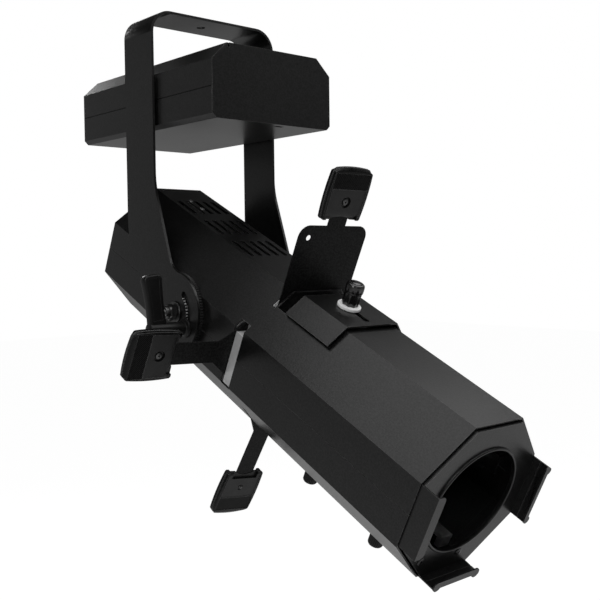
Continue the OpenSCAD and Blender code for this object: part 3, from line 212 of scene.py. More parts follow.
# Materials: noise scales are in features per metre, and bump depths in metres

# Paint: the shares are of its base tone
CLOUD_SCALE = 22
CLOUD_RANGE = (0.35, 0.7)
CLOUD_SHARES = (0.1, 0.3)
SPECK_SCALE = 560
SPECK_RANGE = (0.4, 0.6)
SPECK_SHARE = 6.5
WEAR_AND_HIGHLIGHT_SCALE = 60
WEAR_AND_HIGHLIGHT_RAMP = (0.3, 0.6, 0.6, 1)
DRIFT_SCALE = 12
DRIFT_SPREAD = 0.012
PEEL_SCALE = 150
PEEL_STRENGTH = 0.05
PEEL_DEPTH = 0.0006
GRAIN_SCALE = 470
GRAIN_DEPTH = 0.0003
# Lighter edges, a painted highlight that on the paint also stands for wear: bevel radius in
# metres, then the agreement of the normals where the lightening starts and where it is full
CUT_EDGE = (0.0007, 0.9, 0.76)
PLASTIC_EDGE_HIGHLIGHT = (0.0009, 0.997, 0.94)


def black_paint(name, base, edge_highlight_tone, rough, level, grain):
    """Satin powder coat: fine grain, faint cloudiness, and edges rubbed a little lighter, which
    also paints a highlight along them.
    """
    s = Shader(name)
    dark, light = (grey(base * share) for share in CLOUD_SHARES)
    cloud = s.mix(s.mottle(CLOUD_SCALE, 4, *CLOUD_RANGE), dark, light)
    specks = s.ramp(s.noise(SPECK_SCALE, 2, 0.7), *SPECK_RANGE)
    paint = s.mix(specks, cloud, grey(base * SPECK_SHARE))
    # Cut edges lightened in noisy dots: partly wear, partly a painted highlight
    edge_wear_and_highlight = s.math("MULTIPLY", s.edges(*CUT_EDGE), s.mottle(WEAR_AND_HIGHLIGHT_SCALE, 4, *WEAR_AND_HIGHLIGHT_RAMP))
    s.set("Base Color", s.mix(edge_wear_and_highlight, paint, grey(edge_highlight_tone)))
    s.set_rough(rough, DRIFT_SPREAD, DRIFT_SCALE, 1)
    s.set("Specular IOR Level", level)
    peel = s.bump(s.noise(PEEL_SCALE, 2), PEEL_STRENGTH, PEEL_DEPTH)
    s.set("Normal", s.bump(s.noise(GRAIN_SCALE, 1, 0.6), grain, GRAIN_DEPTH, peel))
    return s.material


BRUSH_SCALE = 300
BRUSH_STRETCH = (1, 14, 14)
BRUSH_DEPTH = 0.0003
BRUSH_STRENGTH = 0.12
BRUSH_SMOOTHER = 0.08
BRUSH_ROUGHER = 0.1
STAIN_SCALE = 30
STAIN_RANGE = (0.4, 0.7)
STAIN_SHARE = 0.75
ACROSS = (0, 0, math.pi / 2)


def brushed_metal(name, tone, rough, turn=(0, 0, 0), metallic=1):
    """Bare metal with fine brushing and slight stains."""
    s = Shader(name)
    lines = s.noise(BRUSH_SCALE, 3, 0.6, s.stretched(BRUSH_STRETCH, turn))
    stain = s.mottle(STAIN_SCALE, 4, *STAIN_RANGE)
    s.set("Base Color", s.mix(stain, grey(tone), grey(tone * STAIN_SHARE)))
    s.set("Roughness", s.ramp(lines, *MIDDLE, rough - BRUSH_SMOOTHER, rough + BRUSH_ROUGHER))
    s.set("Metallic", metallic)
    s.set("Normal", s.bump(lines, BRUSH_STRENGTH, BRUSH_DEPTH))
    return s.material


MOULD_CLOUD_SCALE = 45
MOULD_CLOUD_SHARE = 1.4
MOULD_DRIFT_SCALE = 120
MOULD_DRIFT_SPREAD = 0.06
SPARK_SCALE = 2200
SPARK_DEPTH = 0.0002


def moulded_plastic(name, tone, rough, level, grain=0.12, tint=PLAIN, edge_highlight_tone=0):
    """Moulded plastic with a fine spark-eroded grain, and edges made lighter as a painted
    highlight where asked.
    """
    s = Shader(name)
    cloud = s.mottle(MOULD_CLOUD_SCALE, 3, *CLOUD_RANGE)
    high = min(1, tone * MOULD_CLOUD_SHARE)
    colour = s.mix(cloud, grey(tone, tint), grey(high, tint))
    # Lighter edges: a painted highlight
    if edge_highlight_tone:
        colour = s.mix(s.edges(*PLASTIC_EDGE_HIGHLIGHT), colour, grey(edge_highlight_tone, tint))
    s.set("Base Color", colour)
    s.set_rough(rough, MOULD_DRIFT_SPREAD, MOULD_DRIFT_SCALE, 4)
    s.set("Specular IOR Level", level)
    s.set("Normal", s.bump(s.noise(SPARK_SCALE, 2), grain, SPARK_DEPTH))
    return s.material


GLASS_COLOUR = grey(0.94, (0.97, 1, 1))
GLASS_IOR = 1.6
GLASS_CLEAR = 0.7
GLASS_DUST = (0.5, 0.9, 0.01, 0.06)
DISPLAY_DUST = (0.3, 0.8, 0.05, 0.16)


def clear_glass(name):
    """Lens glass, a little dusty and partly clear."""
    s = Shader(name)
    s.set("Base Color", GLASS_COLOUR)
    s.set("Roughness", s.mottle(40, 4, *GLASS_DUST))
    s.set("Transmission Weight", GLASS_CLEAR)
    s.set("IOR", GLASS_IOR)
    return s.material


BOARD_ROUGH = (0.35, 0.5)
LACQUER = (0.01, 0.09, 0.03, 1)
LACQUER_ON_COPPER = (0.02, 0.16, 0.06, 1)
PHOSPHOR = (0.85, 0.62, 0.12, 1)
LED_FRAME = (0.75, 0.74, 0.68, 1)


def patterned_board(name, dots, colours, drift_scale, relief):
    """A board with raised spots, from (scale, low, high) of the cells and (strength, depth)."""
    s = Shader(name)
    scale, low, high = dots
    spots = s.ramp(s.cells(scale), low, high)
    s.set("Base Color", s.mix(spots, *colours))
    s.set("Roughness", s.mottle(drift_scale, 3, *MIDDLE, *BOARD_ROUGH))
    s.set("Normal", s.bump(spots, *relief))
    return s.material


SMOKED = (0.01, 0.014, 0.02, 1)
SMOKED_HAZE = (0.02, 0.026, 0.034, 1)


def display_glass(name):
    """A smoked window with slight haze."""
    s = Shader(name)
    s.set("Base Color", s.mix(s.mottle(120, 4, 0.4, 0.8), SMOKED, SMOKED_HAZE))
    s.set("Roughness", s.mottle(60, 4, *DISPLAY_DUST))
    return s.material


# The value after the base tone lightens the cut edges: partly wear, partly a painted highlight
PAINT = black_paint("paint", 0.0014, 0.02, 0.3, 0.5, 0.245)
PAINT_HIGHLIT_EDGES = black_paint("paint_highlit_cut_edges", 0.0015, 0.12, 0.3, 0.51, 0.245)
PAINT_DARK = black_paint("paint_dark", 0.0035, 0.02, 0.42, 0.3, 0.14)
BLADE = black_paint("blade_steel", 0.002, 0.05, 0.42, 0.12, 0.105)
STEEL = brushed_metal("zinc_steel", 0.55, 0.3)
ALUMINIUM = brushed_metal("aluminium", 0.62, 0.36, ACROSS)
CAST = brushed_metal("cast_aluminium", 0.78, 0.45, ACROSS, 0.35)
MIRROR = brushed_metal("reflector_finish", 0.8, 0.16)
PLASTIC = moulded_plastic("black_plastic", 0.005, 0.42, 0.28)
# The grips and the lever get lighter edges as a painted highlight
GRIP_PLASTIC = moulded_plastic("grip_plastic", 0.0008, 0.26, 0.24, 0.1, edge_highlight_tone=0.09)
GRIP_BAND = moulded_plastic("grip_band", 0.0008, 0.34, 0.13, 0.15)
GRIP_PANEL = moulded_plastic("grip_panel", 0.005, 0.4, 0.36, 0.45)
DARK_STEEL = brushed_metal("dark_steel", 0.12, 0.34)
DISC_RUBBER = moulded_plastic("disc_rubber", 0.008, 0.45, 0.3, 0.1)
TEETH = brushed_metal("slot_teeth", 0.7, 0.4, metallic=0.4)
LEVER_PLASTIC = moulded_plastic("lever_plastic", 0.004, 0.36, 0.3, 0.1, edge_highlight_tone=0.025)
KNOB_PLASTIC = moulded_plastic("knob_plastic", 0.006, 0.22, 0.9, 0.02)
BLUE_PLASTIC = moulded_plastic("blue_plastic", 0.1, 0.4, 0.4, 0.08, (0.12, 0.35, 1))
NYLON = moulded_plastic("white_nylon", 0.98, 0.4, 0.6, 0.05)
BUTTON = moulded_plastic("button_plastic", 0.03, 0.45, 0.35)
GLASS = clear_glass("lens_glass")
BOARD = patterned_board("circuit_board", (220, 0.25, 0.4), (LACQUER, LACQUER_ON_COPPER), 90,
                        (0.3, 0.0001))
DISPLAY = display_glass("display_glass")
LAMP = patterned_board("lamp_board", (420, 0.18, 0.3), (PHOSPHOR, LED_FRAME), 100, (0.4, 0.0002))

SIDES = ("top", "bottom", "left", "right")
HOLDER_SIDES = ("left", "right", "bottom")


def each(sides, kind):
    """Names such as left_grip, one for each side."""
    return [f"{side}_{kind}" for side in sides]


NODE_MATERIALS = {
    PAINT: ["yoke", "driver_cover", "driver_tray", "driver_rear_plate", "rear_plate",
            "driver_mount_screws"],
    PAINT_HIGHLIT_EDGES: ["driver_front_plate", "upper_shell", "lower_shell", "front_plate", "slot_cover",
                 *each(HOLDER_SIDES, "frame_holder")],
    PAINT_DARK: ["rear_lens_carrier", "front_lens_carrier", "gate_plates", "friction_discs"],
    BLADE: each(SIDES, "blade"),
    STEEL: ["pivot_bolts", "pivot_nuts", "pivot_plates", "driver_spacers", "gate_separators",
            *each(SIDES, "grip_screw")],
    ALUMINIUM: ["heat_sink"],
    CAST: ["gate_core", "lens_rails"],
    MIRROR: ["reflector"],
    PLASTIC: ["fan_frame", "fan_rotor", "box_cable_gland", "barrel_cable_gland",
              "data_sockets", "tilt_lever", "barrel_screws"],
    GRIP_PLASTIC: each(SIDES, "grip"),
    KNOB_PLASTIC: ["cover_knob", "rear_lens_knob", "front_lens_knob"],
    BLUE_PLASTIC: ["power_inlet"],
    NYLON: ["cover_washer"],
    BUTTON: ["menu_button_up", "menu_button_down", "menu_button_enter", "menu_button_back"],
    GLASS: ["rear_lens", "front_lens"],
    BOARD: ["driver_board"],
    DISPLAY: ["display_window"],
    LAMP: ["led_board"],
}


def dress_nodes():
    """Puts the materials on the CAD nodes."""
    for material, names in NODE_MATERIALS.items():
        for name in names:
            node = NODES[name]
            node.data.materials.clear()
            node.data.materials.append(material)


dress_nodes()


# Mesh helpers

MERGE_DIST = 1e-7
SHARP_ANGLE = 32
TURNED_ANGLE = 40
QUARTER = math.pi / 2
LEAST_INSET = 0.4  # keeps an inset from running away at a sharp corner
SQUARE = [(-1, -1), (1, -1), (1, 1), (-1, 1)]


def shares(count):
    """0 to 1 in equal steps."""
    return [k / count for k in range(count + 1)]


def new_object(name, bm):
    """An object in the scene from a bmesh, which is used up."""
    bmesh.ops.recalc_face_normals(bm, faces=bm.faces)
    mesh = bpy.data.meshes.new(name)
    bm.to_mesh(mesh)
    bm.free()
    piece = bpy.data.objects.new(name, mesh)
    bpy.context.scene.collection.objects.link(piece)
    return piece


def make_piece(name, bm, body, materials, matrix, stands_for=(), sharp_angle=SHARP_ANGLE):
    """Turns a bmesh drawn in millimetres into a named piece that rides on a body."""
    bmesh.ops.remove_doubles(bm, verts=bm.verts, dist=MERGE_DIST)
    piece = new_object(name, bm)
    mesh = piece.data
    mesh.transform(matrix @ Matrix.Scale(MM, 4))
    for material in materials:
        mesh.materials.append(material)
    mesh.shade_smooth()
    mesh.set_sharp_from_angle(angle=math.radians(sharp_angle))
    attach(piece, body)
    if stands_for:
        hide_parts(*stands_for)


def lofted(rings, closed=False):
    """Skins rings of points, each with as many points as the last; closed joins the end rings."""
    bm = bmesh.new()
    loops = [[bm.verts.new(p) for p in ring] for ring in rings]
    count = len(loops[0])
    pairs = list(zip(loops, loops[1:]))
    if closed:
        pairs.append((loops[-1], loops[0]))
    for low, high in pairs:
        for k in range(count):
            nxt = (k + 1) % count
            bm.faces.new((low[k], low[nxt], high[nxt], high[k]))
    if not closed:
        bm.faces.new(list(reversed(loops[0])))
        bm.faces.new(loops[-1])
    return bm


def revolved(profile, segments, radius_at=None, closed=False):
    """Turns (radius, height) points about z; radius_at(r, z, angle) may shape the radius."""
    rings = []
    for r, z in profile:
        ring = []
        for k in range(segments):
            a = 2 * math.pi * k / segments
            here = radius_at(r, z, a) if radius_at else r
            ring.append(Vector((here * math.cos(a), here * math.sin(a), z)))
        rings.append(ring)
    return lofted(rings, closed)


def slab(rows, thickness):
    """A closed sheet: rows of top points, and a flat underside the given depth below z = 0."""
    bm = bmesh.new()
    top = [[bm.verts.new(p) for p in row] for row in rows]
    low = [[bm.verts.new((p.x, p.y, -thickness)) for p in row] for row in rows]
    last_row, last = len(rows) - 1, len(rows[0]) - 1
    for i in range(last_row):
        for k in range(last):
            bm.faces.new((top[i][k], top[i][k + 1], top[i + 1][k + 1], top[i + 1][k]))
            bm.faces.new((low[i][k], low[i + 1][k], low[i + 1][k + 1], low[i][k + 1]))
    for i in range(last_row):
        bm.faces.new((top[i][0], top[i + 1][0], low[i + 1][0], low[i][0]))
        bm.faces.new((top[i + 1][last], top[i][last], low[i][last], low[i + 1][last]))
    for k in range(last):
        bm.faces.new((top[0][k + 1], top[0][k], low[0][k], low[0][k + 1]))
        bm.faces.new((top[last_row][k], top[last_row][k + 1],
                      low[last_row][k + 1], low[last_row][k]))
    return bm


def inset_ring(points, distance):
    """Moves each point of a closed outline (in x, y, counter-clockwise) inward by a distance."""
    ring = []
    count = len(points)
    for k, p in enumerate(points):
        before, after = points[k - 1], points[(k + 1) % count]
        d1 = (p - before).normalized()
        d2 = (after - p).normalized()
        n = Vector((-d1.y - d2.y, d1.x + d2.x))
        n.normalize()
        half = max(LEAST_INSET, n.dot(Vector((-d1.y, d1.x))))
        ring.append(p + n * (distance / half))
    return ring


def at_height(points, z):
    """An outline's points lifted to a height."""
    return [Vector((p.x, p.y, z)) for p in points]


def mirrored(right):
    """Closes an outline from its right half, listed upward."""
    return right + [Vector((-p.x, p.y)) for p in reversed(right)]


def subtract(bm, cutters):
    """Cuts closed bmeshes out of a closed bmesh."""
    body = new_object("cut_body", bm)
    for k, cutter in enumerate(cutters):
        change = body.modifiers.new("cut", "BOOLEAN")
        change.operation = "DIFFERENCE"
        change.solver = "EXACT"
        change.object = new_object(f"cutter_{k}", cutter)
    graph = bpy.context.evaluated_depsgraph_get()
    done = bmesh.new()
    done.from_mesh(body.evaluated_get(graph).to_mesh())
    for piece in [m.object for m in body.modifiers] + [body]:
        bpy.data.objects.remove(piece)
    return done


def moved(bm, matrix):
    """The same bmesh in its new place."""
    bmesh.ops.transform(bm, matrix=matrix, verts=bm.verts)
    return bm


def merge_into(bm, other, matrix=Matrix()):
    """Adds another bmesh's faces to this one, moved by the matrix, and uses it up."""
    mesh = bpy.data.meshes.new("merge")
    moved(other, matrix).to_mesh(mesh)
    other.free()
    bm.from_mesh(mesh)
    bpy.data.meshes.remove(mesh)


def of_material(bm, index):
    """The same bmesh with all its faces in one material slot."""
    for face in bm.faces:
        face.material_index = index
    return bm


def block(low, high):
    """A box between two corners."""
    floor = [Vector((x, y, low[2])) for x, y in ((low[0], low[1]), (high[0], low[1]),
                                                 (high[0], high[1]), (low[0], high[1]))]
    return lofted([floor, at_height(floor, high[2])])


def round_bar(radius, low, high, centre=(0, 0)):
    """An upright bar between two heights."""
    bar = revolved([(radius, low), (radius, high)], 32)
    return moved(bar, Matrix.Translation((centre[0], centre[1], 0)))


def drawn_along(axis, at=(0, 0, 0)):
    """Matrix that stands a piece drawn along +z on a point, pointing along an axis."""
    turn = Vector((0, 0, 1)).rotation_difference(Vector(axis)).to_matrix().to_4x4()
    return Matrix.Translation(Vector(at)) @ turn


def shift(x, y, z):
    """Matrix that moves by millimetres."""
    return Matrix.Translation(Vector((x, y, z)) * MM)


def in_metres(matrix):
    """The same placement with its shift turned from millimetres into metres."""
    turn = matrix.to_3x3().to_4x4()
    return shift(*matrix.translation) @ turn


def raised(profile, height):
    """A profile's (radius, height) points, lifted."""
    return [(r, height + z) for r, z in profile]


# Shutter grips: a bowed paddle with a sunk panel, a knurled band and a screw in a recess. Each
# is drawn with its inner end at y = 0, its length along y and its mid plane at z = 0.

# Blade planes in front of the tilt axis, then each grip's distance from the optical axis and
# its blade's swivel in degrees
CORE_REAR = 96.6
LEFT_PLANE = CORE_REAR - 1.3
RIGHT_PLANE = CORE_REAR - 3.9
BOTTOM_PLANE = CORE_REAR + 12.3
TOP_PLANE = CORE_REAR + 14.9
SIDE_GRIP_AT = 148
BOTTOM_GRIP_AT = 151
TOP_GRIP_AT = 160
LEFT_ANGLE = 87.5
RIGHT_ANGLE = -98.4
BOTTOM_ANGLE = 171.6

# Outline, and the edge rounding as (inset, height)
GRIP_LEN = 56
GRIP_HALF = 27
GRIP_T = 9
HALF_T = GRIP_T / 2
GRIP_SIDE_BOW = 1.4
GRIP_END_BOW = 1.5
GRIP_CORNER = 1.5
GRIP_CHAMFER = 4.6
GRIP_CHAMFER_RUN = 4
GRIP_SHOULDER = (0.5, 1.1)
GRIP_ARCH_R = 28.3
GRIP_ARCH_HALF = 14
GRIP_ARCH_RISE = 4
GRIP_EDGE = [(0.9, HALF_T), (0.4, HALF_T - 0.15), (0.12, HALF_T - 0.45), (0, HALF_T - 0.9)]
MOULD_LINE = [(0, 0.8), (0.3, 0.4)]
END_SLOPE = 3.4
END_SLOPE_FROM = 1.8
END_EDGE_SHARE = 0.6

# Sunk panel and knurled band
PANEL_HALF = 23.4
PANEL_FROM = 3.5
PANEL_CORNER = (1, 1.5)
PANEL_TO_BAND = 1.2
PANEL_DEPTH = 0.7
BAND_FROM = 33.6
BAND_TO = 49.4
BAND_CORNER = 0.8
BAND_CORNER_SLOPE = 0.5
BAND_SIDE = 1.6
BAND_DEPTH = 0.75
BAND_GAP = 0.05
BAND_SHEET = 0.3
WALL_SLOPE = 0.5
KNURL_PITCH = 2.4
KNURL_SLANT = 0.8
KNURL_H = 0.6
KNURL_RIDGES = (1.5, 0.7)
KNURL_STEP = 0.36

# The blade's slot, the pockets over its neck, the screw and its recess on each side
BLADE_T = 1
NECK_HALF = 12.5
NECK_LEN = 25.3
NECK_GAP = 0.3
SLOT_GAP = 0.1
POCKET_FROM = -3
HOLLOW_COVER = 0.7
HOLLOW_END = 9.5
HOLLOW_REACH = 7
HOLLOW_HALF = 21
TIP_COVER = 0.6
TIP_HALF = 18
TIP_END = (7.6, 8.2)
SCREW_AT = 19.5
SCREW_HOLE_R = 1.9
RECESS_R = 6
RECESS_DEPTH = 2.8
TIP_RECESS_R = 3.6
TIP_RECESS_DEPTH = 1.6
TIP_RECESS_AT = (0.6, SCREW_AT + 0.4)
OVER = 1  # how far a cutter reaches past the face that it cuts
PANEL_SLOT, BAND_SLOT = 1, 2  # material slots of a grip; the rest of it is in slot 0


def grip_outline():
    """Counter-clockwise outline of a grip."""
    top = GRIP_LEN - GRIP_CHAMFER - GRIP_END_BOW
    side = [Vector((GRIP_HALF - GRIP_SIDE_BOW * (2 * t - 1) ** 2,
                    GRIP_CORNER + (top - GRIP_CORNER) * t)) for t in shares(8)]
    chamfer_x = side[-1].x - GRIP_CHAMFER_RUN
    end = [Vector((chamfer_x * (1 - 2 * t), GRIP_LEN - GRIP_END_BOW * (1 - 2 * t) ** 2))
           for t in shares(12)]
    right = [Vector((GRIP_HALF - GRIP_SIDE_BOW - GRIP_CORNER, 0))] + side
    right.append(side[-1] + Vector((-GRIP_SHOULDER[0], GRIP_SHOULDER[1])))
    left = [Vector((-p.x, p.y)) for p in reversed(right)]
    arch = []
    for t in shares(10):
        x = GRIP_ARCH_HALF * (2 * t - 1)
        arch.append(Vector((x, math.sqrt(GRIP_ARCH_R ** 2 - x * x) - GRIP_ARCH_R
                            + GRIP_ARCH_RISE)))
    return right + end + left + arch


def grip_ring(outline, inward, z):
    """The outline at height z, drawn in by the edge rounding and cut back by the end's slope."""
    drop = END_SLOPE * max(0, abs(z) - END_SLOPE_FROM) / (HALF_T - END_SLOPE_FROM)
    ring = []
    for p in inset_ring(outline, inward):
        bow = GRIP_END_BOW * (p.x / GRIP_HALF) ** 2
        limit = GRIP_LEN - inward * END_EDGE_SHARE - drop - bow
        ring.append(Vector((p.x, min(p.y, limit), z)))
    return ring


def knurl_height(x, y):
    """Shallow pyramids from two crossing sets of slanting ridges."""
    u = (x * KNURL_SLANT + y) / KNURL_PITCH
    v = (x * KNURL_SLANT - y) / KNURL_PITCH
    first, second = abs(u - round(u)), abs(v - round(v))
    coarse, crossed = KNURL_RIDGES
    return (coarse * first + crossed * min(first, second)) * KNURL_H


def band_half(y):
    """Half width of the knurled band at y, inside the outline's corners."""
    over = y - (BAND_TO - BAND_CORNER)
    return GRIP_HALF - GRIP_SIDE_BOW - BAND_SIDE - max(0, over) * BAND_CORNER_SLOPE


def knurled_band(facing):
    """The band's knurled sheet, on the floor of its pocket."""
    rows = []
    low, high = BAND_FROM + BAND_GAP, BAND_TO - BAND_GAP
    across = shares(int(2 * (GRIP_HALF + 1) / KNURL_STEP))
    for t in shares(int((BAND_TO - BAND_FROM) / KNURL_STEP)):
        y = low + (high - low) * t
        half = band_half(y) - BAND_GAP
        xs = [half * (2 * share - 1) for share in across]
        rows.append([Vector((x, y, knurl_height(x, y))) for x in xs])
    side = Matrix.Scale(facing, 4, (0, 0, 1))
    return moved(of_material(slab(rows, BAND_SHEET), BAND_SLOT),
                 Matrix.Translation((0, 0, (HALF_T - BAND_DEPTH) * facing)) @ side)


def pocket(outline, facing, depth):
    """Cuts a pocket with slightly sloping walls into a face."""
    wide = inset_ring(outline, -WALL_SLOPE * depth)
    return lofted([at_height(outline, (HALF_T - depth) * facing),
                   at_height(wide, HALF_T * facing),
                   at_height(wide, (HALF_T + 2 * OVER) * facing)])


def neck_pocket(facing, section, half):
    """Pocket over the blade's neck, from (y, height) points of its section."""
    return lofted([[Vector((x, y, z * facing)) for y, z in section] for x in (-half, half)])


def screw_side_section():
    """The panel slopes down to the neck in a hollow curve."""
    low, deep = HALF_T - PANEL_DEPTH, BLADE_T / 2 + HOLLOW_COVER
    curve = []
    for t in shares(6):
        a = QUARTER * t
        curve.append((HOLLOW_END - HOLLOW_REACH * math.sin(a),
                      low - (low - deep) * (1 - math.cos(a))))
    return [(POCKET_FROM, deep)] + curve[::-1] + [(HOLLOW_END, GRIP_T), (POCKET_FROM, GRIP_T)]


def tip_side_section():
    """The neck lies open up to a steep step."""
    deep = BLADE_T / 2 + TIP_COVER
    low, high = TIP_END
    return [(POCKET_FROM, deep), (low, deep), (high, GRIP_T), (POCKET_FROM, GRIP_T)]


def grip_block():
    """A grip before it is cut, its edges rounded and its mould line slightly sunk."""
    upper = GRIP_EDGE + [(0, END_SLOPE_FROM)] + MOULD_LINE
    steps = upper + [(inward, -z) for inward, z in reversed(upper)]
    outline = grip_outline()
    return lofted([grip_ring(outline, inward, z) for inward, z in reversed(steps)])


def sunk_bar(radius, depth, facing, centre):
    """Cuts a round hole of a depth into a face."""
    low, high = sorted((facing * (HALF_T - depth), facing * (HALF_T + OVER)))
    return round_bar(radius, low, high, centre)


def grip_cutters(screw_side):
    """The blade's slot, the screw's hole and recesses, and the pockets of both faces."""
    neck = Vector((NECK_HALF + NECK_GAP, NECK_LEN, BLADE_T / 2 + SLOT_GAP))
    cutters = [block((-neck.x, -2 * OVER, -neck.z), neck),
               sunk_bar(RECESS_R, RECESS_DEPTH, screw_side, (0, SCREW_AT)),
               round_bar(SCREW_HOLE_R, -HALF_T - OVER, HALF_T + OVER, (0, SCREW_AT)),
               sunk_bar(TIP_RECESS_R, TIP_RECESS_DEPTH, -screw_side, TIP_RECESS_AT)]
    band = mirrored([Vector((band_half(y), y))
                     for y in (BAND_FROM, BAND_TO - BAND_CORNER, BAND_TO)])
    panel = mirrored([Vector((PANEL_HALF - PANEL_CORNER[0], PANEL_FROM)),
                      Vector((PANEL_HALF, PANEL_FROM + PANEL_CORNER[1])),
                      Vector((PANEL_HALF, BAND_FROM - PANEL_TO_BAND))])
    for facing in (1, -1):
        cutters += [pocket(band, facing, BAND_DEPTH), pocket(panel, facing, PANEL_DEPTH)]
    return cutters + [neck_pocket(screw_side, screw_side_section(), HOLLOW_HALF),
                      neck_pocket(-screw_side, tip_side_section(), TIP_HALF)]


def sort_grip_faces(bm):
    """Gives the floors and walls of the pockets their own material slots."""
    for face in bm.faces:
        middle = face.calc_center_median()
        if abs(middle.x) < PANEL_HALF and 1 < abs(middle.z) < HALF_T - 0.1:
            if 0 < middle.y < BAND_FROM - 1:
                face.material_index = PANEL_SLOT
            elif BAND_FROM <= middle.y < BAND_TO:
                face.material_index = BAND_SLOT


def grip_solid(screw_side):
    """A whole grip; screw_side is 1 or -1, as its screw faces up or down."""
    bm = subtract(grip_block(), grip_cutters(screw_side))
    sort_grip_faces(bm)
    merge_into(bm, knurled_band(screw_side))
    return bm


def shutter_matrix(plane, angle, out):
    """Stands a piece drawn along y in a shutter's plane, turned by its swivel."""
    turn = Matrix.Rotation(QUARTER, 4, "X") @ Matrix.Rotation(math.radians(angle), 4, "Z")
    return BARREL @ shift(0, -plane, 0) @ turn @ shift(0, out, BLADE_T / 2)


# Each grip's plane, swivel and distance, and the side of its screw (1 faces forward)
GRIPS = {
    "top": (TOP_PLANE, 0, TOP_GRIP_AT, 1),
    "bottom": (BOTTOM_PLANE, BOTTOM_ANGLE, BOTTOM_GRIP_AT, -1),
    "left": (LEFT_PLANE, LEFT_ANGLE, SIDE_GRIP_AT, 1),
    "right": (RIGHT_PLANE, RIGHT_ANGLE, SIDE_GRIP_AT, 1),
}


def make_grips():
    """The four shutter grips."""
    for side, (*place, screw_side) in GRIPS.items():
        make_piece(f"{side}_grip_moulding", grip_solid(screw_side), f"{side}_shutter",
                   [GRIP_PLASTIC, GRIP_PANEL, GRIP_BAND], shutter_matrix(*place),
                   (f"{side}_grip",))


make_grips()


# Fasteners

# Screws: head radius and height, then shank length and radius
GRIP_SCREW = (3.75, 1.8, GRIP_T - RECESS_DEPTH + 0.8, 1.75)
PLATE_SCREW = (4, 1.3, 5, 2)
VENT_SCREW = (2.8, 1.6, 14, 1.5)
FAN_SCREW = (3.75, 2, 28, 2)
GATE_SCREW = (2.75, 2, 25, 1.5)
LEVER_SCREW = (3, 1.4)

# A pan head as shares of its radius and height, and the cross in it
HEAD_CURVE = [(0.97, 0), (1, 0.12), (1, 0.4), (0.93, 0.7), (0.75, 0.9), (0.45, 0.99), (0, 1)]
CROSS_ARM = 0.52
CROSS_HALF = 0.13
CROSS_FLOOR = 0.35
CROSS_TAPER = (0.55, 0.6)
SCREW_PITCH = 0.7
SCREW_ROOT = 0.88


def threaded(radius, low, high, pitch):
    """Profile of a rod with ring-like threads and a chamfered low end."""
    root = radius * SCREW_ROOT
    profile = [(0, low), (radius * 0.72, low), (radius * 0.95, low + 0.4 * pitch)]
    for k in range(max(1, int((high - low - pitch) / pitch))):
        z = low + (0.6 + k) * pitch
        profile += [(radius, z), (radius, z + 0.15 * pitch), (root, z + 0.5 * pitch),
                    (root, z + 0.62 * pitch)]
    return profile + [(radius * 0.9, high), (0, high)]


def cross_cutters(radius, height):
    """Two tapered bars that cut the cross into a head."""
    arm, half = radius * CROSS_ARM, radius * CROSS_HALF
    low = [Vector((x * arm * CROSS_TAPER[0], y * half * CROSS_TAPER[1], height * CROSS_FLOOR))
           for x, y in SQUARE]
    top = [Vector((x * arm, y * half, height + 0.5)) for x, y in SQUARE]
    return [moved(lofted([low, top]), Matrix.Rotation(a, 4, "Z")) for a in (0, QUARTER)]


def pan_head(radius, height, shank=0, shank_radius=0):
    """Cross-head screw standing on z = 0, its shank reaching down."""
    curve = [(radius * r, height * z) for r, z in HEAD_CURVE]
    bm = subtract(revolved([(0, 0)] + curve, 40), cross_cutters(radius, height))
    if shank:
        merge_into(bm, revolved(threaded(shank_radius, -shank, 0.05, SCREW_PITCH), 24))
    return bm


def hex_radius(flats):
    """Gives a function that holds a profile's radius inside a hexagon across flats."""
    def held(r, _z, a):
        """The radius inside the hexagon at an angle."""
        off = (math.degrees(a) + 30) % 60 - 30
        return min(r, flats / 2 / math.cos(math.radians(off)))
    return held


# A nut's chamfers as shares: the flat face, the eased corner, and their rises
NUT_FACE = 0.96
NUT_CORNER = 0.97
NUT_RISES = (0.09, 0.12)
NUT_HOLE_CHAMFER = 0.6


def hex_nut(flats, low, high, hole):
    """A nut between two heights, chamfered at both ends."""
    corner, inner = flats / math.sqrt(3), flats / 2 * NUT_FACE
    eased = corner * NUT_CORNER
    near, far = (rise * flats for rise in NUT_RISES)
    profile = [(hole, low), (inner, low), (eased, low + near), (corner, low + far),
               (corner, high - far), (eased, high - near), (inner, high),
               (hole + NUT_HOLE_CHAMFER, high), (hole, high - NUT_HOLE_CHAMFER)]
    return revolved(profile, 96, hex_radius(flats), closed=True)


def make_grip_screws():
    """A screw on the floor of each grip's recess."""
    seat = Matrix.Translation((0, SCREW_AT, HALF_T - RECESS_DEPTH))
    for side, (*place, screw_side) in GRIPS.items():
        turn = Matrix.Rotation(0 if screw_side > 0 else math.pi, 4, "Y")
        make_piece(f"{side}_grip_screw_detail", moved(pan_head(*GRIP_SCREW), turn @ seat),
                   f"{side}_shutter", [DARK_STEEL], shutter_matrix(*place),
                   (f"{side}_grip_screw",))


make_grip_screws()

PLATE_FRONT = 374
PLATE_SCREWS = [(-41, -57), (13, -61)]
VENT_TOP = 80
VENT_SCREWS = [(-6, 133), (-6, 107)]
BARREL_REAR = 174
FAN_HOLE = 41.25
GATE_FRONT = 114.5
INNER_HALF = 78.5
TIE_INSET = 3.55
TIE_AT = (INNER_HALF - TIE_INSET) * math.sqrt(0.5)


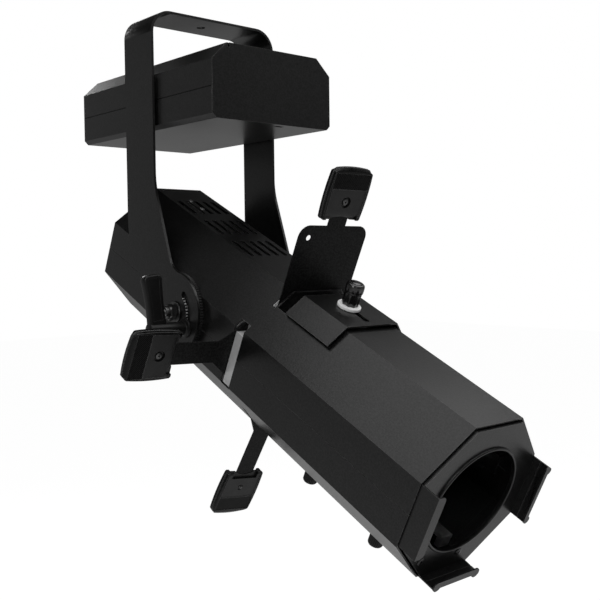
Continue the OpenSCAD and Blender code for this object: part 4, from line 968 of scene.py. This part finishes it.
def make_barrel_screws():
    """Screws of the front plate, the vent panel, the fan and the gate."""
    slots = [DARK_STEEL, PAINT, STEEL]
    rows = [
        (PLATE_SCREW, PAINT, (0, -1, 0), [(x, -PLATE_FRONT, z) for x, z in PLATE_SCREWS]),
        (VENT_SCREW, STEEL, (0, 0, 1), [(x, y, VENT_TOP) for x, y in VENT_SCREWS]),
        (FAN_SCREW, DARK_STEEL, (0, 1, 0),
         [(x * FAN_HOLE, BARREL_REAR, z * FAN_HOLE) for x, z in SQUARE]),
        (GATE_SCREW, DARK_STEEL, (0, -1, 0),
         [(x * TIE_AT, -GATE_FRONT, z * TIE_AT) for x, z in SQUARE]),
    ]
    bm = bmesh.new()
    for size, material, axis, places in rows:
        for at in places:
            screw = of_material(pan_head(*size), slots.index(material))
            merge_into(bm, screw, drawn_along(axis, at))
    make_piece("barrel_screw_heads", bm, "barrel", slots, BARREL, ("barrel_screws",))


make_barrel_screws()

BOLT_R = 4.98
BOLT_FROM = 69.5
BOLT_END = ARM_X + 19.5
BOLT_HEAD = (17, 68, 74, 0.5)
NUT_SEAT = ARM_X + 0.3
THREAD_FROM = NUT_SEAT + 6
THREAD_TO = BOLT_END - 2.4
THREAD_ROOT_R = 4.3
THREAD_PITCH = 1.25
PIVOT_NUT = (16, NUT_SEAT + 2, NUT_SEAT + 10, 5.15)
# The washer below the nut and the locking collar above it, from the nut's seat
NUT_WASHER = [(5.4, 0.3), (5.7, 0), (11.7, 0), (12, 0.35), (12, 1.5), (11.5, 1.95), (5.7, 1.95),
              (5.4, 1.7)]
NUT_COLLAR = [(5.15, 9.9), (7, 9.9), (7, 13.6), (6.4, 14.6), (5.6, 15), (5.15, 14.6)]


def bolt_profile():
    """Profile of a pivot bolt with rolled threads and a hollow point."""
    profile = [(0, BOLT_FROM), (BOLT_R, BOLT_FROM), (BOLT_R, THREAD_FROM)]
    z = THREAD_FROM
    while z < THREAD_TO:
        profile += [(THREAD_ROOT_R, z + 0.5), (THREAD_ROOT_R, z + 0.7), (BOLT_R, z + 1.1),
                    (BOLT_R, z + THREAD_PITCH)]
        z += THREAD_PITCH
    point = [(4.9, -1.1), (3.7, -0.1), (3.4, 0), (1.2, 0), (0.9, -0.8), (0, -1.1)]
    return profile + raised(point, BOLT_END)


def make_pivot():
    """Pivot bolts with rolled threads, and their chamfered nuts on plain washers."""
    bolts, nuts = bmesh.new(), bmesh.new()
    for side in (-1, 1):
        outward = drawn_along((side, 0, 0))
        for part in (revolved(bolt_profile(), 48), hex_nut(*BOLT_HEAD)):
            merge_into(bolts, part, outward)
        for part in (revolved(raised(NUT_WASHER, NUT_SEAT), 64, closed=True),
                     hex_nut(*PIVOT_NUT),
                     revolved(raised(NUT_COLLAR, NUT_SEAT), 48, closed=True)):
            merge_into(nuts, part, outward)
    make_piece("pivot_bolt_threads", bolts, "barrel", [STEEL], BARREL, ("pivot_bolts",))
    make_piece("pivot_nut_faces", nuts, "barrel", [DARK_STEEL], BARREL, ("pivot_nuts",))


make_pivot()


# Friction discs with a milled rim, and teeth on the wall of the yoke's arc slot

DISC_IN = 80
DISC_OUT = 84.9
DISC_HOLE_R = 5.5
LOBE_R = 44
RIM_CHAMFER = (1.2, 0.6)
MILL_FROM_R = LOBE_R - 0.2
MILL_DEPTH = 0.45
MILL_COUNT = 90
STUD_REACH = 25.5
STUD_TURN = math.radians(16)
STUD_AT = (0, -STUD_REACH * math.cos(STUD_TURN), -STUD_REACH * math.sin(STUD_TURN))
STUD_HOLE = (4.5, 75, 90)


def milled(r, _z, a):
    """Shallow waves around the rim, and none nearer the hole."""
    if r < MILL_FROM_R:
        return r
    return r - MILL_DEPTH + MILL_DEPTH * math.cos(MILL_COUNT * a)


def make_discs():
    """Both friction discs; the lever's stud passes through the left one."""
    discs = bmesh.new()
    inset, rise = RIM_CHAMFER
    profile = [(DISC_HOLE_R, DISC_IN), (LOBE_R - inset, DISC_IN), (LOBE_R, DISC_IN + rise),
               (LOBE_R, DISC_OUT - rise), (LOBE_R - inset, DISC_OUT), (DISC_HOLE_R, DISC_OUT)]
    for side in (-1, 1):
        merge_into(discs, revolved(profile, 8 * MILL_COUNT, milled, closed=True),
                   drawn_along((side, 0, 0)))
    hole = moved(round_bar(*STUD_HOLE), drawn_along((-1, 0, 0), STUD_AT))
    make_piece("friction_disc_rims", subtract(discs, [hole]), "barrel", [DISC_RUBBER], BARREL,
               ("friction_discs",))


SLOT_HIGH = 46
SLOT_INNER_R = 21.1
TOOTH_COUNT = 18
TOOTH_STEP = 9.4
TOOTH_SINK = 0.95
TOOTH_FROM = ARM_X - 2.8
TOOTH = [(0, 0), (0.95, 0), (1.25, 0.3), (1.25, 2.3), (0.95, 2.6), (0, 2.6)]


def make_slot_teeth():
    """Rolled teeth along the pivot side of the yoke's arc slot."""
    bm = bmesh.new()
    radius = SLOT_INNER_R - TOOTH_SINK
    for k in range(TOOTH_COUNT):
        a = math.radians(SLOT_HIGH - TOOTH_STEP * k)
        at = (-TOOTH_FROM, -radius * math.cos(a), radius * math.sin(a))
        merge_into(bm, revolved(TOOTH, 20), drawn_along((-1, 0, 0), at))
    make_piece("arc_slot_teeth", bm, "yoke_frame", [TEETH], Matrix.Translation(TILT_AXIS))


make_discs()
make_slot_teeth()


# Clamping lever, drawn around its stud with the paddle's reach along y

LEVER_W = 22
LEVER_T = 10
LEVER_REACH = 58
LEVER_CORNER = 6
LEVER_WAIST = 1.7
LEVER_LEAN = math.radians(7)
LEVER_EDGE = [(2.2, 0), (1.0, 0.35), (0.35, 0.9), (0, 2)]
LEVER_RIM = 4.2
LEVER_PANEL_FROM = 9
LEVER_PANEL_DEPTH = 0.5
LEVER_SCREW_AT = (7, 0, LEVER_T / 2 - 0.1)
LEVER_END = ARM_X + 46
LEVER_SEAT = ARM_X + 0.3 + 2
HUB_R = 7.5
FLANGE_R = 11
STUD_R = 4
STUD_FROM = 68


def paddle_outline():
    """Counter-clockwise outline of the lever's paddle, x inward from its outer side."""
    low, high = -HUB_R, LEVER_REACH - LEVER_CORNER
    inner = [Vector((LEVER_W - LEVER_WAIST * math.sin(math.pi * t), low + (high - low) * t))
             for t in shares(10)]
    middle = Vector((LEVER_W - LEVER_CORNER, high))
    corner = [middle + LEVER_CORNER * Vector((math.cos(a), math.sin(a)))
              for a in (math.radians(angle) for angle in range(10, 91, 10))]
    half = inner + corner
    return half + [Vector((LEVER_W - p.x, p.y)) for p in reversed(half)]


def paddle_solid():
    """The paddle, its edges rounded and its face sunk inside a rim."""
    half = LEVER_T / 2
    outline = paddle_outline()
    upper = [(inward, half - down) for inward, down in LEVER_EDGE]
    steps = upper + [(inward, -z) for inward, z in reversed(upper)]
    solid = lofted([at_height(inset_ring(outline, inward), z) for inward, z in reversed(steps)])
    panel = [p for p in inset_ring(outline, LEVER_RIM) if p.y > LEVER_PANEL_FROM]
    panel += [Vector((x, LEVER_PANEL_FROM)) for x in (LEVER_RIM, LEVER_W - LEVER_RIM)]
    heights = (half - LEVER_PANEL_DEPTH, half + OVER)
    return subtract(solid, [lofted([at_height(panel, z) for z in heights])])


def hub_profile():
    """Profile of the lever's hub, flared to a flange on the arm's washer."""
    low, high = LEVER_SEAT, LEVER_END
    return [(0, low - 2.1), (FLANGE_R, low - 2), (FLANGE_R, low - 1.7),
            (FLANGE_R - 0.4, low - 0.3), (HUB_R + 1.2, low), (HUB_R, low + 1.2),
            (HUB_R, high - 1.2), (HUB_R - 0.4, high - 0.4), (HUB_R - 1.2, high), (0, high)]


def make_lever():
    """The clamping lever with its stud, and the screw in its face."""
    stud_top = LEVER_SEAT - 1.9
    stud = [(0, STUD_FROM), (STUD_R, STUD_FROM), (STUD_R, stud_top), (0, stud_top)]
    upright = Matrix.Rotation(-TILT_REST, 4, "X") @ Matrix.Translation((-LEVER_END, 0, 0)) \
        @ Matrix.Rotation(-LEVER_LEAN, 4, "Y") @ Matrix.Rotation(QUARTER, 4, "X")
    bm = moved(paddle_solid(), upright)
    merge_into(bm, revolved(hub_profile(), 64), drawn_along((-1, 0, 0)))
    merge_into(bm, revolved(stud, 32), drawn_along((-1, 0, 0)))
    place = BARREL @ shift(*STUD_AT)
    make_piece("lever_moulding", bm, "clamp_lever", [LEVER_PLASTIC], place, ("tilt_lever",),
               TURNED_ANGLE)
    on_face = in_metres(upright @ Matrix.Translation(LEVER_SCREW_AT))
    make_piece("lever_screw", pan_head(*LEVER_SCREW), "clamp_lever", [STEEL], place @ on_face)


make_lever()


# Thumb knob, its washer and the lens knobs, as profiles of (radius, height)

KNOB_AT = 163
KNOB_LOW = 88.5
KNOB_STEM_R = 8.9
KNOB_STEM_TOP = 12.6
KNOB_HEAD_FROM = 14
KNOB_R = 9.8
KNOB_FLATS = 8
FLAT_FROM_R = 8.7
FLAT_DEPTH = 0.5
FLUTE_FROM_R = 7.6
FLUTE_DEPTH = 1.1
FLUTE_TURN = math.radians(12)
KNOB_PROFILE = [
    (0, -10), (3, -10), (3, 0), (8.2, 0), (8.7, 0.3), (KNOB_STEM_R, 1),
    (KNOB_STEM_R, KNOB_STEM_TOP), (KNOB_STEM_R - 0.6, 13), (KNOB_STEM_R - 0.6, 13.7),
    (8.8, KNOB_HEAD_FROM), (KNOB_R - 0.3, 14.6), (KNOB_R, 15.4), (KNOB_R, 21.0), (9.4, 22.3),
    (8.6, 23.3), (7.7, 23.9), (6.9, 24.0), (6.2, 23.9), (4.5, 24.3), (2.5, 24.7), (0, 24.8)]
KNOB_NUT = (9.5, 74.2 - KNOB_LOW, 78.2 - KNOB_LOW, 2.9)
WASHER_LOW = 85
WASHER_PROFILE = [
    (3.1, 0.4), (3.5, 0), (12, 0), (12.4, 0.25), (12.5, 0.7), (12.5, 2.8), (12.3, 3.2),
    (11.8, 3.45), (3.5, 3.45), (3.1, 3.1)]
LENS_KNOB_AT = {"rear": 187, "front": 294}
LENS_KNOB_LOW = 80.3
LENS_RIB_FROM_R = 7.4
LENS_RIB_DEPTH = 0.35
LENS_RIBS = 24
LENS_KNOB_PROFILE = [
    (0, -17.8), (3, -17.8), (3, 0), (10.7, 0), (11, 0.3), (11, 1.6), (10.5, 2), (6.4, 2.2),
    (6, 2.7), (6, 10.3), (6.6, 10.6), (7.3, 10.9), (7.9, 11.6), (8, 12.4), (8, 29.8),
    (7.9, 30.9), (7.2, 31.9), (6.4, 32.4), (5, 32.3), (4.6, 31.8), (0, 31.8)]
KNOB_SEGMENTS = 120


def knob_flats(r, z, a):
    """Soft flats on the thumb knob's head, and shallow flutes on its stem."""
    if z > KNOB_HEAD_FROM and r > FLAT_FROM_R:
        return r - FLAT_DEPTH * (0.5 + 0.5 * math.cos(KNOB_FLATS * a)) ** 2
    if z < KNOB_STEM_TOP and r > FLUTE_FROM_R:
        return r - FLUTE_DEPTH * math.sin(KNOB_FLATS / 2 * (a + FLUTE_TURN)) ** 2
    return r


def make_cover_knob():
    """The thumb knob with its nut below the cover, and the washer between."""
    knob = revolved(KNOB_PROFILE, KNOB_SEGMENTS, knob_flats)
    merge_into(knob, hex_nut(*KNOB_NUT))
    make_piece("cover_knob_turned", knob, "accessory_cover_knob", [KNOB_PLASTIC],
               BARREL @ shift(0, -KNOB_AT, KNOB_LOW), ("cover_knob",), TURNED_ANGLE)
    make_piece("cover_washer_ring", revolved(WASHER_PROFILE, 80, closed=True),
               "accessory_cover_knob", [NYLON], BARREL @ shift(0, -KNOB_AT, WASHER_LOW),
               ("cover_washer",), TURNED_ANGLE)


def lens_knob_ribs(r, _z, a):
    """Fine ribs around the widest part of a lens knob."""
    if r < LENS_RIB_FROM_R:
        return r
    return r - LENS_RIB_DEPTH + LENS_RIB_DEPTH * math.cos(LENS_RIBS * a)


def make_lens_knobs():
    """The two lens lock knobs, pointing down from the barrel."""
    for name, at in LENS_KNOB_AT.items():
        place = BARREL @ shift(0, -at, -LENS_KNOB_LOW) @ drawn_along((0, 0, -1))
        make_piece(f"{name}_lens_knob_ribbed",
                   revolved(LENS_KNOB_PROFILE, KNOB_SEGMENTS, lens_knob_ribs),
                   f"{name}_lens_lock", [PLASTIC], place, (f"{name}_lens_knob",), TURNED_ANGLE)


make_cover_knob()
make_lens_knobs()


# Eased edges on the sheet metal, so that bends and cut edges catch the light

WELD_DIST = 1e-6
FLAT_WITHIN = math.radians(0.3)
EASE_OVER = math.radians(30)
EASED = {  # by width in millimetres
    0.35: ["driver_cover", "driver_tray", "driver_front_plate", "driver_rear_plate", "upper_shell",
           "lower_shell", "front_plate", "slot_cover", "rear_plate", "gate_core"],
    0.3: [*each(HOLDER_SIDES, "frame_holder"), *each(SIDES, "blade")],
    0.2: ["yoke"],
}


def ease_edges():
    """Welds and flattens each CAD mesh, then rounds its edges by the width in millimetres."""
    for width, names in EASED.items():
        for name in names:
            changes = NODES[name].modifiers
            join = changes.new("join", "WELD")
            join.merge_threshold = WELD_DIST
            flat = changes.new("flat", "DECIMATE")
            flat.decimate_type = "DISSOLVE"
            flat.angle_limit = FLAT_WITHIN
            ease = changes.new("ease", "BEVEL")
            ease.limit_method = "ANGLE"
            ease.angle_limit = EASE_OVER
            ease.width = width * MM
            ease.segments = 2
            ease.harden_normals = True


ease_edges()


# World, floor and lights

BRIGHT_SIDE = (0.42, 0.5, 0)
HORIZON_TOP = 0.2
ZENITH_FROM = 0.5
HORIZON_LEVEL = 0.195
ZENITH_LEVEL = 0.03


def background(nodes, strength):
    """White light from all around, of an even or varying strength."""
    return nodes.add("ShaderNodeBackground", {"Color": WHITE, "Strength": strength}).outputs[0]


def make_world():
    """White behind the object; what lights it is dim at the horizon and dark overhead."""
    world = bpy.data.worlds.new("studio")
    world.use_nodes = True
    nodes = Nodes(world.node_tree)
    nodes.tree.nodes.clear()
    way = nodes.add("ShaderNodeTexCoord").outputs["Generated"]
    up = nodes.add("ShaderNodeSeparateXYZ", {0: way}).outputs["Z"]
    level = nodes.ramp(up, HORIZON_TOP, ZENITH_FROM, HORIZON_LEVEL, ZENITH_LEVEL,
                       interpolation_type="SMOOTHSTEP")
    share = nodes.math("ADD", nodes.dot(way, BRIGHT_SIDE), 1)
    dim = background(nodes, nodes.math("MULTIPLY", level, share))
    surface = nodes.blend(nodes.seen(), dim, background(nodes, 1))
    nodes.add("ShaderNodeOutputWorld", {"Surface": surface})
    bpy.context.scene.world = world


FLOOR_Z = -1.1
FLOOR_REACH = 8
FLOOR_TONES = (0.78, 0.82)
FLOOR_ROUGH = 0.9
FLOOR_WHITE = 0.86
FLOOR_GLOSSY = 0.22
FLOOR_GLOW = 1.14


def floor_paper():
    """Pale matt paper: near white to the camera, but it keeps the shadow."""
    s = Shader("floor")
    s.set("Base Color", s.mix(s.noise(3, 3), *(grey(tone) for tone in FLOOR_TONES)))
    s.set("Roughness", FLOOR_ROUGH)
    s.set("Specular IOR Level", 0)
    glossy = s.add("ShaderNodeLightPath").outputs["Is Glossy Ray"]
    share = s.math("MAXIMUM", s.math("MULTIPLY", s.seen(), FLOOR_WHITE),
                   s.math("MULTIPLY", glossy, FLOOR_GLOSSY))
    glow = s.add("ShaderNodeEmission", {"Strength": FLOOR_GLOW}).outputs[0]
    surface = s.tree.nodes["Material Output"].inputs["Surface"]
    s.link(s.blend(share, s.bsdf.outputs[0], glow), surface)
    return s.material


def make_floor():
    """A pale floor below the hanging light."""
    mesh = bpy.data.meshes.new("floor")
    corners = [(x * FLOOR_REACH, y * FLOOR_REACH, FLOOR_Z) for x, y in SQUARE]
    mesh.from_pydata(corners, [], [(0, 1, 2, 3)])
    floor = bpy.data.objects.new("floor", mesh)
    bpy.context.scene.collection.objects.link(floor)
    mesh.materials.append(floor_paper())


# Soft boxes: place, aim, width, height and power. The wide one hangs over the front, the small
# one stands beside the camera and the weak one behind.
SOFTBOXES = {
    "near_camera": ((-0.9, -0.85, 0.1), (0, -0.15, -0.35), 0.45, 0.45, 3.6),
    "overhead": ((0.4, -0.7, 0.9), (0.4, -0.65, -1), 3.0, 1.8, 25),
    "behind": ((0.5, 1.7, 0.45), (0, 0, -0.3), 1.0, 0.4, 6),
}


def make_lights():
    """The soft boxes, which the camera doesn't see."""
    for name, (at, aim, width, height, power) in SOFTBOXES.items():
        data = bpy.data.lights.new(name, "AREA")
        data.shape = "RECTANGLE"
        data.size = width
        data.size_y = height
        data.energy = power
        light = bpy.data.objects.new(name, data)
        bpy.context.scene.collection.objects.link(light)
        light.location = at
        light.rotation_mode = "QUATERNION"
        light.rotation_quaternion = (Vector(aim) - Vector(at)).to_track_quat("-Z", "Y")
        light.visible_camera = False


make_world()
make_floor()
make_lights()
